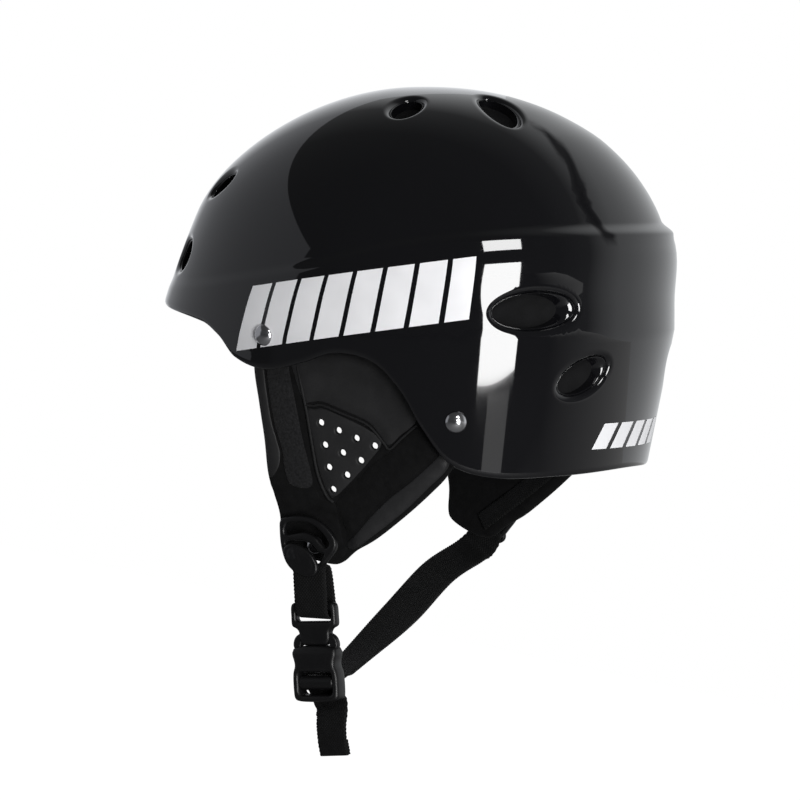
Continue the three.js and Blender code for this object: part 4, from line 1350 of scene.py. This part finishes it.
def soft_light(name, azimuth, elevation, distance, width, height, radiance, colour=(1, 1, 1)):
    """A rectangular light that faces the helmet from an azimuth and an elevation."""
    data = bpy.data.lights.new(name, "AREA")
    data.shape = "RECTANGLE"
    data.size, data.size_y = width * MM, height * MM
    data.color = colour
    data.energy = radiance * math.pi * data.size * data.size_y
    lamp = bpy.data.objects.new(name, data)
    bpy.context.collection.objects.link(lamp)
    out = direction(azimuth, elevation)
    lamp.location = out * distance * MM + Vector((0, 0, -0.06))
    lamp.rotation_mode = "QUATERNION"
    lamp.rotation_quaternion = out.to_track_quat("Z", "Y")


def add_floor():
    mesh = bpy.data.meshes.new("floor")
    near, far = FLOOR_NEAR, FLOOR_FAR
    corners = [(-near, -far, 0), (far, -far, 0), (far, far, 0), (-near, far, 0)]
    mesh.from_pydata(corners, [], [(0, 1, 2, 3)])
    floor = bpy.data.objects.new("floor", mesh)
    floor.location.z = FLOOR_LEVEL * MM
    floor.rotation_euler.z = FLOOR_TURN
    bpy.context.collection.objects.link(floor)
    look = Look("pale_floor", (0.25, 0.25, 0.25), 0.8, Specular_IOR_Level=0.0)
    look.shader.inputs["Emission Color"].default_value = (1, 1, 1, 1)
    across = look.node("ShaderNodeSeparateXYZ")
    look.links.new(look.node("ShaderNodeTexCoord").outputs["Object"], across.inputs[0])
    fade = look.node("ShaderNodeMapRange")
    look.links.new(across.outputs["X"], fade.inputs["Value"])
    for key, value in (("From Min", -0.4), ("From Max", -FLOOR_NEAR), ("To Max", 0.5)):
        fade.inputs[key].default_value = value
    glow = look.node("ShaderNodeMath")
    glow.operation = "MAXIMUM"
    look.links.new(look.node("ShaderNodeLightPath").outputs["Is Camera Ray"], glow.inputs[0])
    look.links.new(fade.outputs["Result"], glow.inputs[1])
    look.links.new(glow.outputs["Value"], look.shader.inputs["Emission Strength"])
    look.vary_colour(look.noise(3), 0.01)
    mesh.materials.append(look.material)


def surroundings():
    """White behind the helmet and in the picture; dark behind the camera and overhead."""
    world = bpy.data.worlds.new("studio")
    world.use_nodes = True
    bpy.context.scene.world = world
    nodes, links = world.node_tree.nodes, world.node_tree.links
    place = nodes.new("ShaderNodeTexCoord").outputs["Generated"]
    towards = nodes.new("ShaderNodeVectorMath")
    towards.operation = "DOT_PRODUCT"
    links.new(place, towards.inputs[0])
    towards.inputs[1].default_value = direction(*BEHIND)
    ramp = nodes.new("ShaderNodeValToRGB")
    half = nodes.new("ShaderNodeMapRange")
    half.inputs["From Min"].default_value = -1
    links.new(towards.outputs["Value"], half.inputs["Value"])
    links.new(half.outputs["Result"], ramp.inputs["Fac"])
    while len(ramp.color_ramp.elements) < len(BACKGROUND):
        ramp.color_ramp.elements.new(0.5)
    for element, (position, grey) in zip(ramp.color_ramp.elements, BACKGROUND):
        element.position = position
        element.color = (grey * 0.96, grey * 0.98, grey, 1)
    seen = nodes.new("ShaderNodeLightPath").outputs["Is Camera Ray"]
    pick = nodes.new("ShaderNodeMix")
    pick.data_type = "RGBA"
    links.new(seen, pick.inputs["Factor"])
    links.new(ramp.outputs["Color"], pick.inputs["A"])
    pick.inputs["B"].default_value = (1, 1, 1, 1)
    links.new(pick.outputs["Result"], nodes["Background"].inputs["Color"])


bpy.context.scene.view_settings.view_transform = "Standard"
surroundings()
add_floor()
soft_light("window_top", 138, 28, 1500, 420, 262, 13)
soft_light("window_main", 138, -7.7, 1500, 420, 773, 15)
soft_light("window_sill", 140, -25, 1500, 240, 130, 0.7)
soft_light("front_light", -6, 14, 1500, 4600, 1850, 0.26, (0.92, 0.94, 1))
